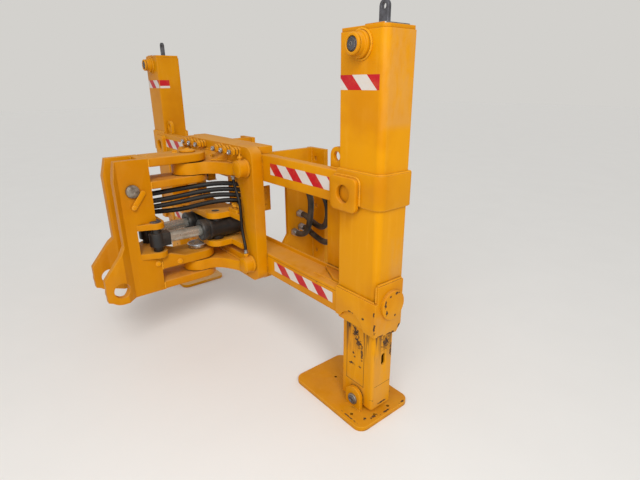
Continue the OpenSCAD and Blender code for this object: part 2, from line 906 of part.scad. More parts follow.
module slew_rod(side) {
    color(steel) at_trunnion(side) translate([0, -slew_len, 0]) {
        bar_y([0, 20, 0], slew_rod_r, slew_len - 20 + rod_in);
        bar_z([0, 0, -eye_h_half], eye_r, 2 * eye_h_half);
        block([-34, 0, -34], [34, 62, 34]);
        bar_z([0, 0, -lug_gap + 1], lug_pin_r, 2 * lug_gap - 2);
    }
}

// Hoses are swept along their own points, with a ring of facets at each point

hose_sides = 10;

function unit(v) = v / norm(v);
function heading(route, i) = unit(route[min(i + 1, len(route) - 1)] - route[max(i - 1, 0)]);
function side_of(route, i, ref) = unit(cross(heading(route, i), ref));
function ring(route, i, r, ref) = [
    for (k = [0:hose_sides - 1])
        let (u = side_of(route, i, ref), v = cross(heading(route, i), u), a = 360 * k / hose_sides)
        route[i] + r * (cos(a) * u + sin(a) * v)
];
function next(k) = (k + 1) % hose_sides;

module hose(route, r, ref) {
    last = len(route) - 1;
    points = [for (i = [0:last]) each ring(route, i, r, ref)];
    walls = [
        for (i = [0:last - 1], k = [0:hose_sides - 1], half = [0, 1])
            let (a = i * hose_sides + k, b = i * hose_sides + next(k))
            half == 0 ? [a, a + hose_sides, b] : [b, a + hose_sides, b + hose_sides]
    ];
    ends = [
        [for (k = [0:hose_sides - 1]) k],
        [for (k = [hose_sides - 1:-1:0]) last * hose_sides + k]
    ];
    color(black) polyhedron(points, concat(ends, walls));
}

// The swing hoses pass from the bracket behind the carriage's window into the swing post
swing_hose_r = 13;
swing_routes = [
    [[261, 282, 918], [216, 274, 922], [166, 228, 936], [128, 160, 946], [98, 88, 949],
     [70, 14, 944], [46, -62, 938], [30, -140, 932], [20, -220, 928], [14, -299, 926]],
    [[261, 282, 886], [216, 274, 890], [166, 228, 904], [128, 160, 914], [98, 88, 916],
     [70, 14, 910], [46, -62, 900], [30, -140, 892], [20, -220, 889], [14, -299, 888]],
    [[261, 282, 854], [216, 274, 858], [166, 228, 872], [128, 160, 882], [94, 90, 884],
     [62, 16, 876], [34, -58, 864], [14, -136, 856], [2, -214, 853], [-4, -299, 852]],
    [[261, 282, 822], [216, 274, 826], [166, 228, 840], [128, 160, 850], [92, 92, 846],
     [48, 26, 832], [2, -38, 814], [-34, -108, 806], [-40, -190, 812],
     [-28, -297.6, 826]]
];

module swing_hose(k) {
    at_pivot() hose(swing_routes[k - 1], swing_hose_r, [0, 0, 1]);
}

// The bracket is a plate on the front of the carriage's right bar, with a stub for each hose
bracket_x = 286;
bracket_plate_t = 10;
bracket_depth = 110;
bracket_z = [800, 938];
stub_r = 15.5;
stub_l = 22;

module hose_bracket() {
    front = pivot_back + carriage_front;
    color(yellow) at_pivot() {
        block([bracket_x, front, bracket_z[0]],
              [bracket_x + bracket_plate_t, front + bracket_depth, bracket_z[1]]);
        for (route = swing_routes)
            bar_x([bracket_x - stub_l, route[0][1], route[0][2]], stub_r, stub_l + bracket_plate_t + 12);
    }
}

// A thin hose runs down the right bar to the lower clamp cylinder
clamp_hose_r = 8;
clamp_route = [
    [244, 134, 1009], [248, 136, 964], [264, 139, 920], [282, 140, 876], [290, 140, 828],
    [291, 140, 780], [294, 139, 732], [306, 137, 686], [330, 131, 644], [340, 128, 601.2]
];

module clamp_hose() {
    at_pivot() hose(clamp_route, clamp_hose_r, [0, 1, 0]);
}

// Wide hoses hang between the rails, from the right chassis plate to the upper rail
frame_hose_r = 16;
frame_routes = [
    [[343, 245, 690], [400, 245, 690], [486, 240, 668], [578, 232, 660], [658, 222, 700],
     [700, 208, 778], [706, 192, 862], [702, 178, 932], [692, 146, 988], [684, 102, 1018],
     [682, 43.2, 1028]],
    [[343, 196, 668], [400, 196, 668], [462, 190, 694], [504, 182, 752], [524, 178, 822],
     [532, 174, 892], [527, 156, 956], [521, 122, 998], [516, 84, 1020], [514, 43.6, 1028]],
    [[343, 236, 770], [400, 236, 770], [470, 231, 750], [546, 222, 742], [610, 206, 770],
     [650, 190, 830], [660, 176, 900], [650, 154, 958], [636, 120, 998], [622, 82, 1020],
     [614, 45.2, 1028]]
];

module frame_hose(k) {
    from_mount() hose(frame_routes[k - 1], frame_hose_r, [-1, 1, 0.6]);
}

upper_rail();
lower_rail();
leg_tube(1);  // leg_tube_right
leg_tube(-1);  // leg_tube_left
tube_collars();
cheek_plates();
lashing_lugs();
lifting_eyes();
top_pins();
tube_caps();
corner_plates();
chassis_plates();
wear_pads();
frame_hose(1);  // frame_hose_1
frame_hose(2);  // frame_hose_2
frame_hose(3);  // frame_hose_3
leg_post(1);  // leg_right
leg_post(-1);  // leg_left
foot_pin(1);  // foot_pin_right
foot_pin(-1);  // foot_pin_left
pad(1);  // pad_right
pad(-1);  // pad_left
carriage_frame();
clamp_cylinders();
jack_bolts();
trunnion_brackets();
trunnion_caps();
upper_tongue();
lower_tongue();
hose_bracket();
clamp_hose();
swing_hose(1);  // swing_hose_1
swing_hose(2);  // swing_hose_2
swing_hose(3);  // swing_hose_3
swing_hose(4);  // swing_hose_4
post_cheek(1);  // post_cheek_right
post_cheek(-1);  // post_cheek_left
post_webs();
upper_ears();
lower_ears();
eye_lugs();
swing_pins();
ram_cross_pin();
slew_barrel(1);  // slew_barrel_right
slew_barrel(-1);  // slew_barrel_left
slew_rod(1);  // slew_rod_right
slew_rod(-1);  // slew_rod_left
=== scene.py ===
# %% [markdown]
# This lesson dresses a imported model: the rear frame that carries a backhoe, with its two
# stabiliser legs, sliding carriage and swing post. The CAD solids already have the right
# sizes, so nothing is modelled twice. Blender adds what makes steel look like steel: softened
# edges, welds, bolts, hoses, paint, dust and wear.

# %% Load the frame
import math
from math import cos, radians, sin, tau

import bmesh
import bpy
from mathutils import Matrix, Vector


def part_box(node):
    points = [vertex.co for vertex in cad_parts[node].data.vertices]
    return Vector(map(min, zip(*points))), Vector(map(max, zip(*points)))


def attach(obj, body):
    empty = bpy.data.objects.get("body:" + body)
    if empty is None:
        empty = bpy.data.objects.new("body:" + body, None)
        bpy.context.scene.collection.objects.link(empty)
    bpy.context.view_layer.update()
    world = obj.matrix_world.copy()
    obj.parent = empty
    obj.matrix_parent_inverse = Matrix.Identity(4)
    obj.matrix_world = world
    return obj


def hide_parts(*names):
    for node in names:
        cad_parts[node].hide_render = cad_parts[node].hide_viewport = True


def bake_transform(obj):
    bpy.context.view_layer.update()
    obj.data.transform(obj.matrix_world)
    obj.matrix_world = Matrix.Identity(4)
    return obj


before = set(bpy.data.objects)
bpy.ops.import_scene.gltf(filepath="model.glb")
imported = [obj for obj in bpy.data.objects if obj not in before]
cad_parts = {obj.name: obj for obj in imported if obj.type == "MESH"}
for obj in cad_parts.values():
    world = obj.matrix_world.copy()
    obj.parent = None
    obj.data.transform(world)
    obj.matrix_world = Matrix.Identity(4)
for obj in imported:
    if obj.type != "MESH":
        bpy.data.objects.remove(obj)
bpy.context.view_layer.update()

# %% [markdown]
# Drawings of the machine are in millimetres, with X to its right, Y forward from the leg
# tubes' rear faces and Z up from the ground. Blender works in metres from the chassis bolts.
# Typing metres from the bolts would hide each size behind a sum, so one helper turns the
# first into the second, and it takes both zero lines from the solids.

# %% Places in millimetres
MM = 0.001
REAR_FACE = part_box("leg_tube_right")[0].y
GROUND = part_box("pad_right")[0].z
PIVOT_X = -30
PIVOT_BACK = 230


def place(x, y, z):
    return Vector((x * MM, REAR_FACE + y * MM, GROUND + z * MM))


def by_pivot(x, y, z):
    """A point measured from the axis on which the post swings."""
    return place(PIVOT_X + x, y - PIVOT_BACK, z)


print("ground at", round(GROUND, 4), "rear face at", round(REAR_FACE, 4))

# %% [markdown]
# The camera comes first, because every later choice is judged through it. It stands behind
# the right leg, 1.46 metres above the ground, and looks down along the rear of the machine.
# A constraint could aim it, but this camera also rolls a little. So its turn, pitch and roll
# are worked out as three unit vectors, which become the columns of its matrix.

# %% Camera
CAMERA_PLACE = place(2266, -1182, 1464)
HEADING = radians(50.76)
PITCH = radians(19.78)
ROLL = radians(-0.397)
LENS = 24.49
SENSOR_WIDTH = 36

level_right = Vector((cos(HEADING), sin(HEADING), 0))
level_ahead = Vector((-sin(HEADING), cos(HEADING), 0))
ahead = cos(PITCH) * level_ahead - sin(PITCH) * Vector((0, 0, 1))
upward = sin(PITCH) * level_ahead + cos(PITCH) * Vector((0, 0, 1))
right = cos(ROLL) * level_right + sin(ROLL) * upward
top = cos(ROLL) * upward - sin(ROLL) * level_right

camera = bpy.data.objects.new("camera", bpy.data.cameras.new("camera"))
camera.data.lens = LENS
camera.data.sensor_width = SENSOR_WIDTH
turned = Matrix((right, top, -ahead)).transposed().to_4x4()
camera.matrix_world = Matrix.Translation(CAMERA_PLACE) @ turned
bpy.context.collection.objects.link(camera)
bpy.context.scene.camera = camera
print("camera at", [round(v, 3) for v in CAMERA_PLACE])

# %% [markdown]
# Finishes are built from shader nodes. Wiring them one by one would take pages, so a class
# keeps them short: one method adds a node and fills its sockets, and the others name the few
# nodes that come back again and again. Colours are written as on a screen, from 0 to 255, and
# turned into the linear values that Blender uses.

# %% Helpers for nodes
def colour(r, g, b):
    screen = [v / 255 for v in (r, g, b)]
    return [v / 12.92 if v <= 0.04045 else ((v + 0.055) / 1.055) ** 2.4 for v in screen] + [1.0]


class Nodes:
    """A material and the few nodes that our finishes share."""

    def __init__(self, name):
        self.material = bpy.data.materials.new(name)
        self.material.use_nodes = True
        self.tree = self.material.node_tree
        self.shader = self.tree.nodes["Principled BSDF"]
        self.where = self.add("TexCoord").outputs["Object"]

    def add(self, kind, settings=None, **sockets):
        node = self.tree.nodes.new("ShaderNode" + kind)
        for key, value in (settings or {}).items():
            setattr(node, key, value)
        for key, value in sockets.items():
            self.feed(node.inputs[key.replace("_", " ")], value)
        return node

    def feed(self, socket, value):
        if isinstance(value, bpy.types.NodeSocket):
            self.tree.links.new(value, socket)
        else:
            socket.default_value = value

    def noise(self, scale, detail=3.0, rough=0.55, vector=None):
        node = self.add("TexNoise", Scale=scale, Detail=detail, Roughness=rough)
        self.feed(node.inputs["Vector"], vector or self.where)
        return node.outputs[0]

    def stretched(self, x, y, z):
        node = self.add("Mapping", Vector=self.where)
        node.inputs["Scale"].default_value = (x, y, z)
        return node.outputs[0]

    def fade(self, value, low, high):
        """0 at low, 1 at high, smooth between them."""
        node = self.add("MapRange", {"interpolation_type": "SMOOTHSTEP"}, Value=value)
        node.inputs["From Min"].default_value = low
        node.inputs["From Max"].default_value = high
        return node.outputs[0]

    def maths(self, operation, first, second=0.0):
        node = self.add("Math", {"operation": operation})
        self.feed(node.inputs[0], first)
        self.feed(node.inputs[1], second)
        return node.outputs[0]

    def times(self, first, second):
        return self.maths("MULTIPLY", first, second)

    def plus(self, first, second):
        return self.maths("ADD", first, second)

    def most(self, first, second):
        return self.maths("MAXIMUM", first, second)

    def mix(self, factor, first, second):
        node = self.add("Mix", {"data_type": "RGBA"})
        self.feed(node.inputs[0], factor)
        self.feed(node.inputs[6], first)
        self.feed(node.inputs[7], second)
        return node.outputs[2]

    def split(self, vector):
        return self.add("SeparateXYZ", Vector=vector).outputs

    def bumps(self, height, distance, strength):
        node = self.add("Bump", Height=height, Distance=distance, Strength=strength)
        self.feed(self.shader.inputs["Normal"], node.outputs[0])

    def skin(self, base, rough, metallic=0.0, **more):
        sockets = {"Base Color": base, "Roughness": rough, "Metallic": metallic}
        sockets.update({key.replace("_", " "): value for key, value in more.items()})
        for key, value in sockets.items():
            self.feed(self.shader.inputs[key], value)
        return self.material


print("node helpers ready")

# %% [markdown]
# Wear follows the shape of the steel: dust lies on what faces up, dirt and painted shade stay
# in corners, and edges lose their paint and take a painted highlight. Such masks could be
# painted by hand on every piece. Nodes that read the surface itself fit all pieces at once,
# and they still fit when a size changes. Two more masks, a box and a ragged blot, put marks
# where the real machine has them.

# %% Masks for wear
class Finish(Nodes):
    """A material with the masks that say where it is worn."""

    def facing_up(self):
        return self.split(self.add("TexCoord").outputs["Normal"])[2]

    def creases(self, reach):
        """1 deep in a corner between pieces, 0 in the open."""
        node = self.add("AmbientOcclusion", {"samples": 4}, Distance=reach)
        return self.fade(node.outputs["AO"], 0.85, 0.25)

    def edges(self, radius):
        """1 on outer and inner edges, where a rounded normal leaves the true one."""
        rounded = self.add("Bevel", {"samples": 4}, Radius=radius).outputs[0]
        plain = self.add("NewGeometry").outputs["Normal"]
        dot = self.add("VectorMath", {"operation": "DOT_PRODUCT"})
        self.feed(dot.inputs[0], rounded)
        self.feed(dot.inputs[1], plain)
        return self.fade(dot.outputs["Value"], 0.985, 0.86)

    def inside(self, low, high, soft=0.0005):
        """1 inside a box that is given by its corners, fading out over the soft border."""
        middle = (low + high) / 2
        out = self.add("VectorMath", {"operation": "SUBTRACT"})
        self.feed(out.inputs[0], self.where)
        out.inputs[1].default_value = middle
        size = self.add("VectorMath", {"operation": "ABSOLUTE"})
        self.feed(size.inputs[0], out.outputs[0])
        over = self.add("VectorMath", {"operation": "SUBTRACT"})
        self.feed(over.inputs[0], size.outputs[0])
        over.inputs[1].default_value = high - middle
        x, y, z = self.split(over.outputs[0])
        return self.fade(self.most(self.most(x, y), z), soft, -soft)

    def blot(self, centre, reach, ragged=3.2):
        """1 in a ragged patch round a point; reach is its size along each axis."""
        away = self.add("VectorMath", {"operation": "SUBTRACT"})
        self.feed(away.inputs[0], self.where)
        away.inputs[1].default_value = centre
        spread = self.add("VectorMath", {"operation": "DIVIDE"})
        self.feed(spread.inputs[0], away.outputs[0])
        spread.inputs[1].default_value = [v * MM for v in reach]
        far = self.add("VectorMath", {"operation": "LENGTH"})
        self.feed(far.inputs[0], spread.outputs[0])
        torn = self.times(self.maths("SUBTRACT", self.noise(75, 6, 0.75), 0.5), ragged)
        near = self.maths("SUBTRACT", 1.0, far.outputs["Value"])
        return self.fade(self.plus(near, torn), 0.42, 0.56)


print("wear masks ready")

# %% [markdown]
# Yellow machine paint is never one colour. It is a little deeper in some places, sandy dust
# lies on what faces up, dirt and painted shade gather in the creases beside welds, and the
# edges are pale, partly rubbed and partly a painted highlight, with dark chips here and there.
# On pieces that stand in dimmer light, painted shading darkens the whole paint. A painted
# image could show all that, but every piece would need one. Here each effect is one mask
# that mixes in one colour, and the same recipe serves the dusty and the cleaner pieces by
# changing the amounts.

# %% Yellow paint
PAINT = colour(223, 149, 0)
PAINT_DEEP = colour(209, 133, 0)
PAINT_PALE_WEAR_AND_HIGHLIGHT = colour(243, 182, 66)
PAINT_SHADED = colour(176, 106, 0)
DUST = colour(212, 151, 70)
SOIL_AND_SHADE = colour(78, 52, 28)
STEEL_CHIP = colour(58, 48, 42)
RUST = colour(104, 74, 48)


def yellow_paint(name, dust=0.45, crease_soil_and_shade=0.6, chips=0.35, rubbed_and_highlight=0.5, shade=0.0, dust_colour=DUST,
                 blots=(), cuts=(), drips=None, hazes=()):
    """dust, soil, chips and rubbed say how much of each shows. soil darkens the creases with dirt
    and painted shade, rubbed makes the edges pale with worn paint and a painted highlight,
    and shade darkens the whole paint as painted shading, for a piece that stands in dimmer
    light. blots are (centre, reach) of patches where the paint has gone, cuts are (low, high)
    corners of dark joint lines, drips is the box down which dirty water has run, and hazes
    are (low, high) boxes of pale dried mud."""
    f = Finish(name)
    grain = f.noise(38, 3)
    base = f.mix(f.fade(f.noise(3.2, 4), 0.40, 0.64), PAINT, PAINT_DEEP)
    streaks = f.fade(f.noise(1, 4, vector=f.stretched(34, 34, 3.5)), 0.54, 0.74)
    base = f.mix(f.times(streaks, 0.13), base, PAINT_PALE_WEAR_AND_HIGHLIGHT)
    # Painted shading: shade darkens the whole paint towards PAINT_SHADED.
    base = f.mix(shade, base, PAINT_SHADED)

    lying = f.fade(f.facing_up(), 0.35, 0.95)
    film = f.times(f.times(lying, f.fade(f.noise(9, 5, 0.65), 0.28, 0.6)), dust)
    thin_film = f.times(f.fade(f.noise(6, 5, 0.7), 0.46, 0.78), 0.06 + 0.14 * dust)
    film = f.most(film, thin_film)
    for low, high in hazes:
        cloudy = f.fade(f.noise(1, 5, 0.65, vector=f.stretched(16, 16, 6)), 0.3, 0.58)
        film = f.most(film, f.times(cloudy, f.inside(low, high, 0.03)))
    base = f.mix(film, base, dust_colour)

    # Dirt and painted shade darken the creases, which ambient occlusion finds.
    crease = f.times(f.creases(0.022), f.fade(f.noise(24, 4, 0.7), 0.30, 0.62))
    base = f.mix(f.times(crease, crease_soil_and_shade), base, SOIL_AND_SHADE)
    if drips:
        runs = f.fade(f.noise(1, 4, 0.6, vector=f.stretched(75, 75, 5)), 0.42, 0.56)
        deep = f.fade(f.split(f.where)[2], drips[0].z, drips[1].z)
        runs = f.times(f.times(runs, deep), f.inside(*drips))
        base = f.mix(f.times(runs, 0.88), base, SOIL_AND_SHADE)

    # Pale edges: partly rubbed paint, partly a painted highlight.
    rim = f.edges(0.0035)
    base = f.mix(f.times(rim, rubbed_and_highlight), base, PAINT_PALE_WEAR_AND_HIGHLIGHT)
    torn = f.noise(1, 6, 0.75, vector=f.stretched(34, 34, 17))
    chipped = f.times(f.times(rim, f.fade(torn, 0.585, 0.625)), chips)
    clusters = f.fade(f.noise(5, 2), 0.52, 0.6)
    specks = f.fade(f.noise(1, 5, 0.8, vector=f.stretched(95, 95, 52)), 0.69, 0.71)
    chipped = f.most(chipped, f.times(f.times(specks, clusters), chips))
    for centre, reach in blots:
        chipped = f.most(chipped, f.blot(centre, reach))
    bare = f.mix(f.fade(f.noise(60, 4), 0.4, 0.62), STEEL_CHIP, RUST)
    base = f.mix(chipped, base, bare)
    for low, high in cuts:
        base = f.mix(f.times(f.inside(low, high), 0.8), base, SOIL_AND_SHADE)

    rough = f.plus(0.34, f.times(grain, 0.1))
    rough = f.plus(rough, f.times(f.plus(film, chipped), 0.4))
    relief = f.plus(f.times(f.noise(150, 2), 0.25), f.times(grain, 0.5))
    f.bumps(f.maths("SUBTRACT", relief, chipped), 0.0009, 0.35)
    return f.skin(base, rough, Specular_IOR_Level=0.12)


# Each paint's shade darkens it as painted shading, for pieces that stand in dimmer light.
paint = yellow_paint("yellow_paint", shade=0.2)
paint_dusty = yellow_paint("yellow_paint_dusty", dust=0.95, crease_soil_and_shade=0.8, chips=0.5, shade=0.3)
paint_post = yellow_paint("yellow_paint_post", dust=0.7, crease_soil_and_shade=0.7, chips=0.4, shade=0.5)
tube_hazes = [(place(1170, 20, 1320), place(1180, 150, 1660)),
              (place(1170, 90, 700), place(1180, 170, 860)),
              (place(-1180, 20, 1320), place(-1170, 150, 1660))]
paint_side = yellow_paint("yellow_paint_tube", dust=0.3, crease_soil_and_shade=0.45, chips=0.15, hazes=tube_hazes)
paint_far = yellow_paint("yellow_paint_far_tube", dust=0.5, crease_soil_and_shade=0.5, chips=0.2, shade=0.35)
paint_weld = yellow_paint("yellow_paint_weld", dust=0.3, crease_soil_and_shade=0.5, chips=0.1, rubbed_and_highlight=0.9)
paints = (paint, paint_dusty, paint_post, paint_side, paint_far, paint_weld)
print("paints:", ", ".join(p.name for p in paints))

# %% [markdown]
# The cylinders are black with a grey film of dust, and their rods are chromed steel that has
# gone dull. A plain black would do from far away, but dust on the upper side shows how round
# they are. The rods get a few fine lines along the stroke, from a noise that is squeezed
# across the rod and left long along it.

# %% Cylinder finishes
def black_paint():
    f = Finish("black_paint")
    film = f.times(f.fade(f.facing_up(), -0.2, 1.0), f.fade(f.noise(14, 5, 0.7), 0.35, 0.7))
    film = f.plus(f.times(film, 0.35), f.times(f.noise(5), 0.06))
    base = f.mix(film, colour(17, 19, 21), colour(112, 100, 86))
    # Pale edges: worn paint and a painted highlight.
    base = f.mix(f.times(f.edges(0.003), 0.3), base, colour(112, 106, 100))
    f.bumps(f.noise(120, 3), 0.0006, 0.3)
    return f.skin(base, f.plus(0.42, f.times(film, 0.5)))


def dusty_rod():
    f = Finish("dusty_rod")
    film = f.fade(f.noise(7, 6, 0.72), 0.34, 0.72)
    lines = f.noise(1, 2, vector=f.stretched(120, 5, 120))
    base = f.mix(film, colour(204, 204, 196), colour(150, 140, 120))
    base = f.mix(f.times(f.fade(lines, 0.5, 0.7), 0.3), base, colour(104, 98, 86))
    f.bumps(lines, 0.0002, 0.1)
    return f.skin(base, f.plus(0.2, f.times(film, 0.3)), 0.65)


black = black_paint()
rod_steel = dusty_rod()
print("cylinder finishes:", black.name, rod_steel.name)

# %% [markdown]
# Pins, nuts and covers are bare or plated steel. They differ only in colour and shine, so one
# recipe makes them all: two shades in clouds, dirt and painted shade in the corners, and pale
# edges that are partly worn and partly a painted highlight.

# %% Bare and plated steel
def bare_steel(name, pale, dark, metallic, rough, crease_soil_and_shade=0.7):
    f = Finish(name)
    cloud = f.fade(f.noise(22, 5, 0.7), 0.36, 0.68)
    base = f.mix(cloud, pale, dark)
    # Dirt and painted shade darken the corners, and the pale edges are wear and a painted
    # highlight.
    base = f.mix(f.times(f.creases(0.012), crease_soil_and_shade), base, SOIL_AND_SHADE)
    base = f.mix(f.times(f.edges(0.002), 0.4), base, colour(222, 218, 210))
    f.bumps(f.noise(140, 4), 0.0004, 0.4)
    return f.skin(base, f.plus(rough, f.times(cloud, 0.2)), metallic)


pin_steel = bare_steel("bare_steel", colour(150, 142, 130), colour(96, 80, 64), 0.6, 0.42)
bright_steel = bare_steel("polished_pin", colour(214, 214, 212), colour(150, 150, 150), 0.95, 0.16)
dark_steel = bare_steel("dark_steel", colour(98, 98, 104), colour(66, 64, 66), 0.5, 0.4)
dish_steel = bare_steel("polished_dish", colour(214, 224, 232), colour(150, 160, 170), 0.5, 0.14,
                        crease_soil_and_shade=0.1)
plated = bare_steel("plated_nut", colour(196, 198, 204), colour(132, 128, 122), 0.85, 0.28)
steels = (pin_steel, bright_steel, dark_steel, dish_steel, plated)
print("steels:", ", ".join(s.name for s in steels))

# %% [markdown]
# Hydraulic hose is black rubber whose wrapping leaves a fine slanting weave. Modelling the
# weave would cost millions of faces, so a wave texture only tips the light. The swing hoses
# hold little dust, and the ones between the rails are dusty all round. The wear pads are dark
# plastic, which needs no more than two shades and a fine grain.

# %% Rubber and plastic
def hose_rubber(name, from_below, dust):
    """from_below is how steeply a side may lean and still hold dust; dust is how much."""
    f = Finish(name)
    film = f.times(f.fade(f.facing_up(), from_below, 0.9), f.fade(f.noise(11, 5, 0.7), 0.34, 0.7))
    base = f.mix(f.times(film, dust), colour(14, 14, 15), colour(104, 90, 74))
    weave = f.add("TexWave", {"wave_type": "BANDS", "bands_direction": "DIAGONAL"},
                  Vector=f.where, Scale=130.0, Distortion=1.5)
    f.bumps(f.plus(f.times(weave.outputs[1], 0.3), f.noise(60, 3)), 0.0005, 0.5)
    return f.skin(base, f.plus(0.42, f.times(film, 0.5)), Specular_IOR_Level=0.35)


def wear_plastic():
    f = Finish("wear_plastic")
    base = f.mix(f.fade(f.noise(30, 4), 0.4, 0.7), colour(52, 52, 50), colour(96, 86, 70))
    f.bumps(f.noise(90, 3), 0.0004, 0.4)
    return f.skin(base, 0.55)


rubber = hose_rubber("black_hose", -0.1, 0.25)
dusty_rubber = hose_rubber("dusty_hose", -2.0, 0.9)
plastic = wear_plastic()
print("soft finishes:", rubber.name, dusty_rubber.name, plastic.name)

# %% [markdown]
# Hoses are one smooth bend from end to end. A cylinder bent by hand would kink, so a few
# points steer each one and a spline through those points fills in the rest. Blender's own
# curve object then gives the round section, and the result is turned into a mesh.

# %% Helpers for hoses
STEPS_BETWEEN_POINTS = 3
SMOOTH_UNDER = radians(40)


def smooth_route(points):
    """A spline through every point, so that the hose has no kinks."""
    padded = [points[0] * 2 - points[1]] + points + [points[-1] * 2 - points[-2]]
    route = []
    for i in range(1, len(padded) - 2):
        a, b, c, d = padded[i - 1:i + 3]
        for k in range(STEPS_BETWEEN_POINTS):
            t = k / STEPS_BETWEEN_POINTS
            route.append(0.5 * (2 * b + (c - a) * t + (2 * a - 5 * b + 4 * c - d) * t ** 2
                                + (3 * b - a - 3 * c + d) * t ** 3))
    return route + [points[-1]]


def round_run(name, route, radius, radii=None, sides=4):
    """A round bar along a route, as a mesh. radii swell and thin it along the way."""
    line = bpy.data.curves.new(name, "CURVE")
    line.dimensions = "3D"
    line.bevel_depth = radius
    line.bevel_resolution = sides
    line.use_fill_caps = True
    spline = line.splines.new("POLY")
    spline.points.add(len(route) - 1)
    for k, point in enumerate(route):
        spline.points[k].co = (*point, 1)
        spline.points[k].radius = radii[k] if radii else 1
    shape = bpy.data.objects.new(name, line)
    mesh = bpy.data.meshes.new_from_object(shape)
    bpy.data.objects.remove(shape)
    bpy.data.curves.remove(line)
    mesh.name = name
    return mesh


def show(name, mesh, material):
    """Puts a mesh into the scene with its finish, smooth except across sharp edges."""
    mesh.materials.clear()
    mesh.materials.append(material)
    mesh.shade_smooth()
    mesh.set_sharp_from_angle(angle=SMOOTH_UNDER)
    piece = bpy.data.objects.new(name, mesh)
    bpy.context.collection.objects.link(piece)
    return piece


def lay_hose(name, node, points, radius, material):
    route = smooth_route(points)
    piece = show(name, round_run(name, route, radius), material)
    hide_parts(node)
    return piece


print("spline steps per point:", STEPS_BETWEEN_POINTS)

# %% [markdown]
# Four swing hoses leave stubs in front of the carriage, arch over the slew cylinders and go
# into the swing post. If they rode on one body, their other ends would tear off when the post
# turns. Each is laid where it is drawn, and rides on no body.

# %% Swing hoses
SWING_HOSE_R = 13
SWING_ROUTES = [
    [(261, 282, 918), (216, 274, 922), (166, 228, 936), (128, 160, 946), (98, 88, 949),
     (70, 14, 944), (46, -62, 938), (30, -140, 932), (20, -220, 928), (14, -299, 926)],
    [(261, 282, 886), (216, 274, 890), (166, 228, 904), (128, 160, 914), (98, 88, 916),
     (70, 14, 910), (46, -62, 900), (30, -140, 892), (20, -220, 889), (14, -299, 888)],
    [(261, 282, 854), (216, 274, 858), (166, 228, 872), (128, 160, 882), (94, 90, 884),
     (62, 16, 876), (34, -58, 864), (14, -136, 856), (2, -214, 853), (-4, -299, 852)],
    [(261, 282, 822), (216, 274, 826), (166, 228, 840), (128, 160, 850), (92, 92, 846),
     (48, 26, 832), (2, -38, 814), (-34, -108, 806), (-40, -190, 812), (-28, -297.6, 826)],
]
for number, points in enumerate(SWING_ROUTES, 1):
    hose = lay_hose(f"swing_hose_{number}_rubber", f"swing_hose_{number}",
                    [by_pivot(*p) for p in points], SWING_HOSE_R * MM, rubber)
    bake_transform(hose)

# %% [markdown]
# The thin clamp hose stays on the carriage, and the three wide hoses hang between the rails.
# Cloth physics could let them sag, but stiff hose keeps the bend it was fitted with, so the
# points are enough. None of them crosses a joint, and each simply rides on its body.

# %% Clamp hose and frame hoses
CLAMP_HOSE_R = 8
CLAMP_ROUTE = [
    (244, 134, 1009), (248, 136, 964), (264, 139, 920), (282, 140, 876), (290, 140, 828),
    (291, 140, 780), (294, 139, 732), (306, 137, 686), (330, 131, 644), (340, 128, 601.2),
]
FRAME_HOSE_R = 16
FRAME_ROUTES = [
    [(343, 245, 690), (400, 245, 690), (486, 240, 668), (578, 232, 660), (658, 222, 700),
     (700, 208, 778), (706, 192, 862), (702, 178, 932), (692, 146, 988), (684, 102, 1018),
     (682, 43.2, 1028)],
    [(343, 196, 668), (400, 196, 668), (462, 190, 694), (504, 182, 752), (524, 178, 822),
     (532, 174, 892), (527, 156, 956), (521, 122, 998), (516, 84, 1020), (514, 43.6, 1028)],
    [(343, 236, 770), (400, 236, 770), (470, 231, 750), (546, 222, 742), (610, 206, 770),
     (650, 190, 830), (660, 176, 900), (650, 154, 958), (636, 120, 998), (622, 82, 1020),
     (614, 45.2, 1028)],
]
clamp_hose = lay_hose("clamp_hose_rubber", "clamp_hose", [by_pivot(*p) for p in CLAMP_ROUTE],
                      CLAMP_HOSE_R * MM, rubber)
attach(clamp_hose, "carriage")
for number, points in enumerate(FRAME_ROUTES, 1):
    hose = lay_hose(f"frame_hose_{number}_rubber", f"frame_hose_{number}",
                    [place(*p) for p in points], FRAME_HOSE_R * MM, dusty_rubber)
    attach(hose, "frame")

# %% [markdown]
# Real plate and forged steel has no knife edges. The shapes could be modelled again with
# rounded edges, but they would then drift from the solids. The surest way is to copy a
# solid's mesh, join the loose triangles, dissolve the flat ones into whole faces and bevel
# what is still sharp. The copy is shown in the solid's place, and the solid is hidden. The
# copy stands for the solid, which stays behind for collision.

# %% Helper for softened solids
FLAT = radians(1.5)
SHARP = radians(32)
SAME_POINT = 0.00002


def soften(node, body, width, material, segments=3):
    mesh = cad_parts[node].data.copy()
    bm = bmesh.new()
    bm.from_mesh(mesh)
    bmesh.ops.remove_doubles(bm, verts=bm.verts, dist=SAME_POINT)
    bmesh.ops.dissolve_limit(bm, angle_limit=FLAT, verts=bm.verts, edges=bm.edges)
    sharp = [e for e in bm.edges if len(e.link_faces) == 2 and e.calc_face_angle() > SHARP]
    bmesh.ops.bevel(bm, geom=sharp, offset=width * MM, offset_type="OFFSET", affect="EDGES",
                    segments=segments, profile=0.5, material=-1, clamp_overlap=True)
    bmesh.ops.recalc_face_normals(bm, faces=bm.faces)
    bm.to_mesh(mesh)
    bm.free()
    piece = show(f"{node}_softened", mesh, material)
    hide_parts(node)
    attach(piece, body)
    return piece


def recoat(piece, material, chosen):
    """Gives a second finish to the faces that are chosen."""
    piece.data.materials.append(material)
    for face in piece.data.polygons:
        if chosen(face):
            face.material_index = len(piece.data.materials) - 1


print("flat under", round(math.degrees(FLAT), 1), "sharp over", round(math.degrees(SHARP), 1))

# %% [markdown]
# Bolts, fittings, discs and welds are small and many. One object each would fill the scene, so
# a bench collects those of one body and one finish in a single mesh. Round parts come off a
# lathe, which spins a line of radii round an axis, and hexagons are bevelled cones with six
# sides. Both are made upright at zero, where they are easy to measure, and then set down.

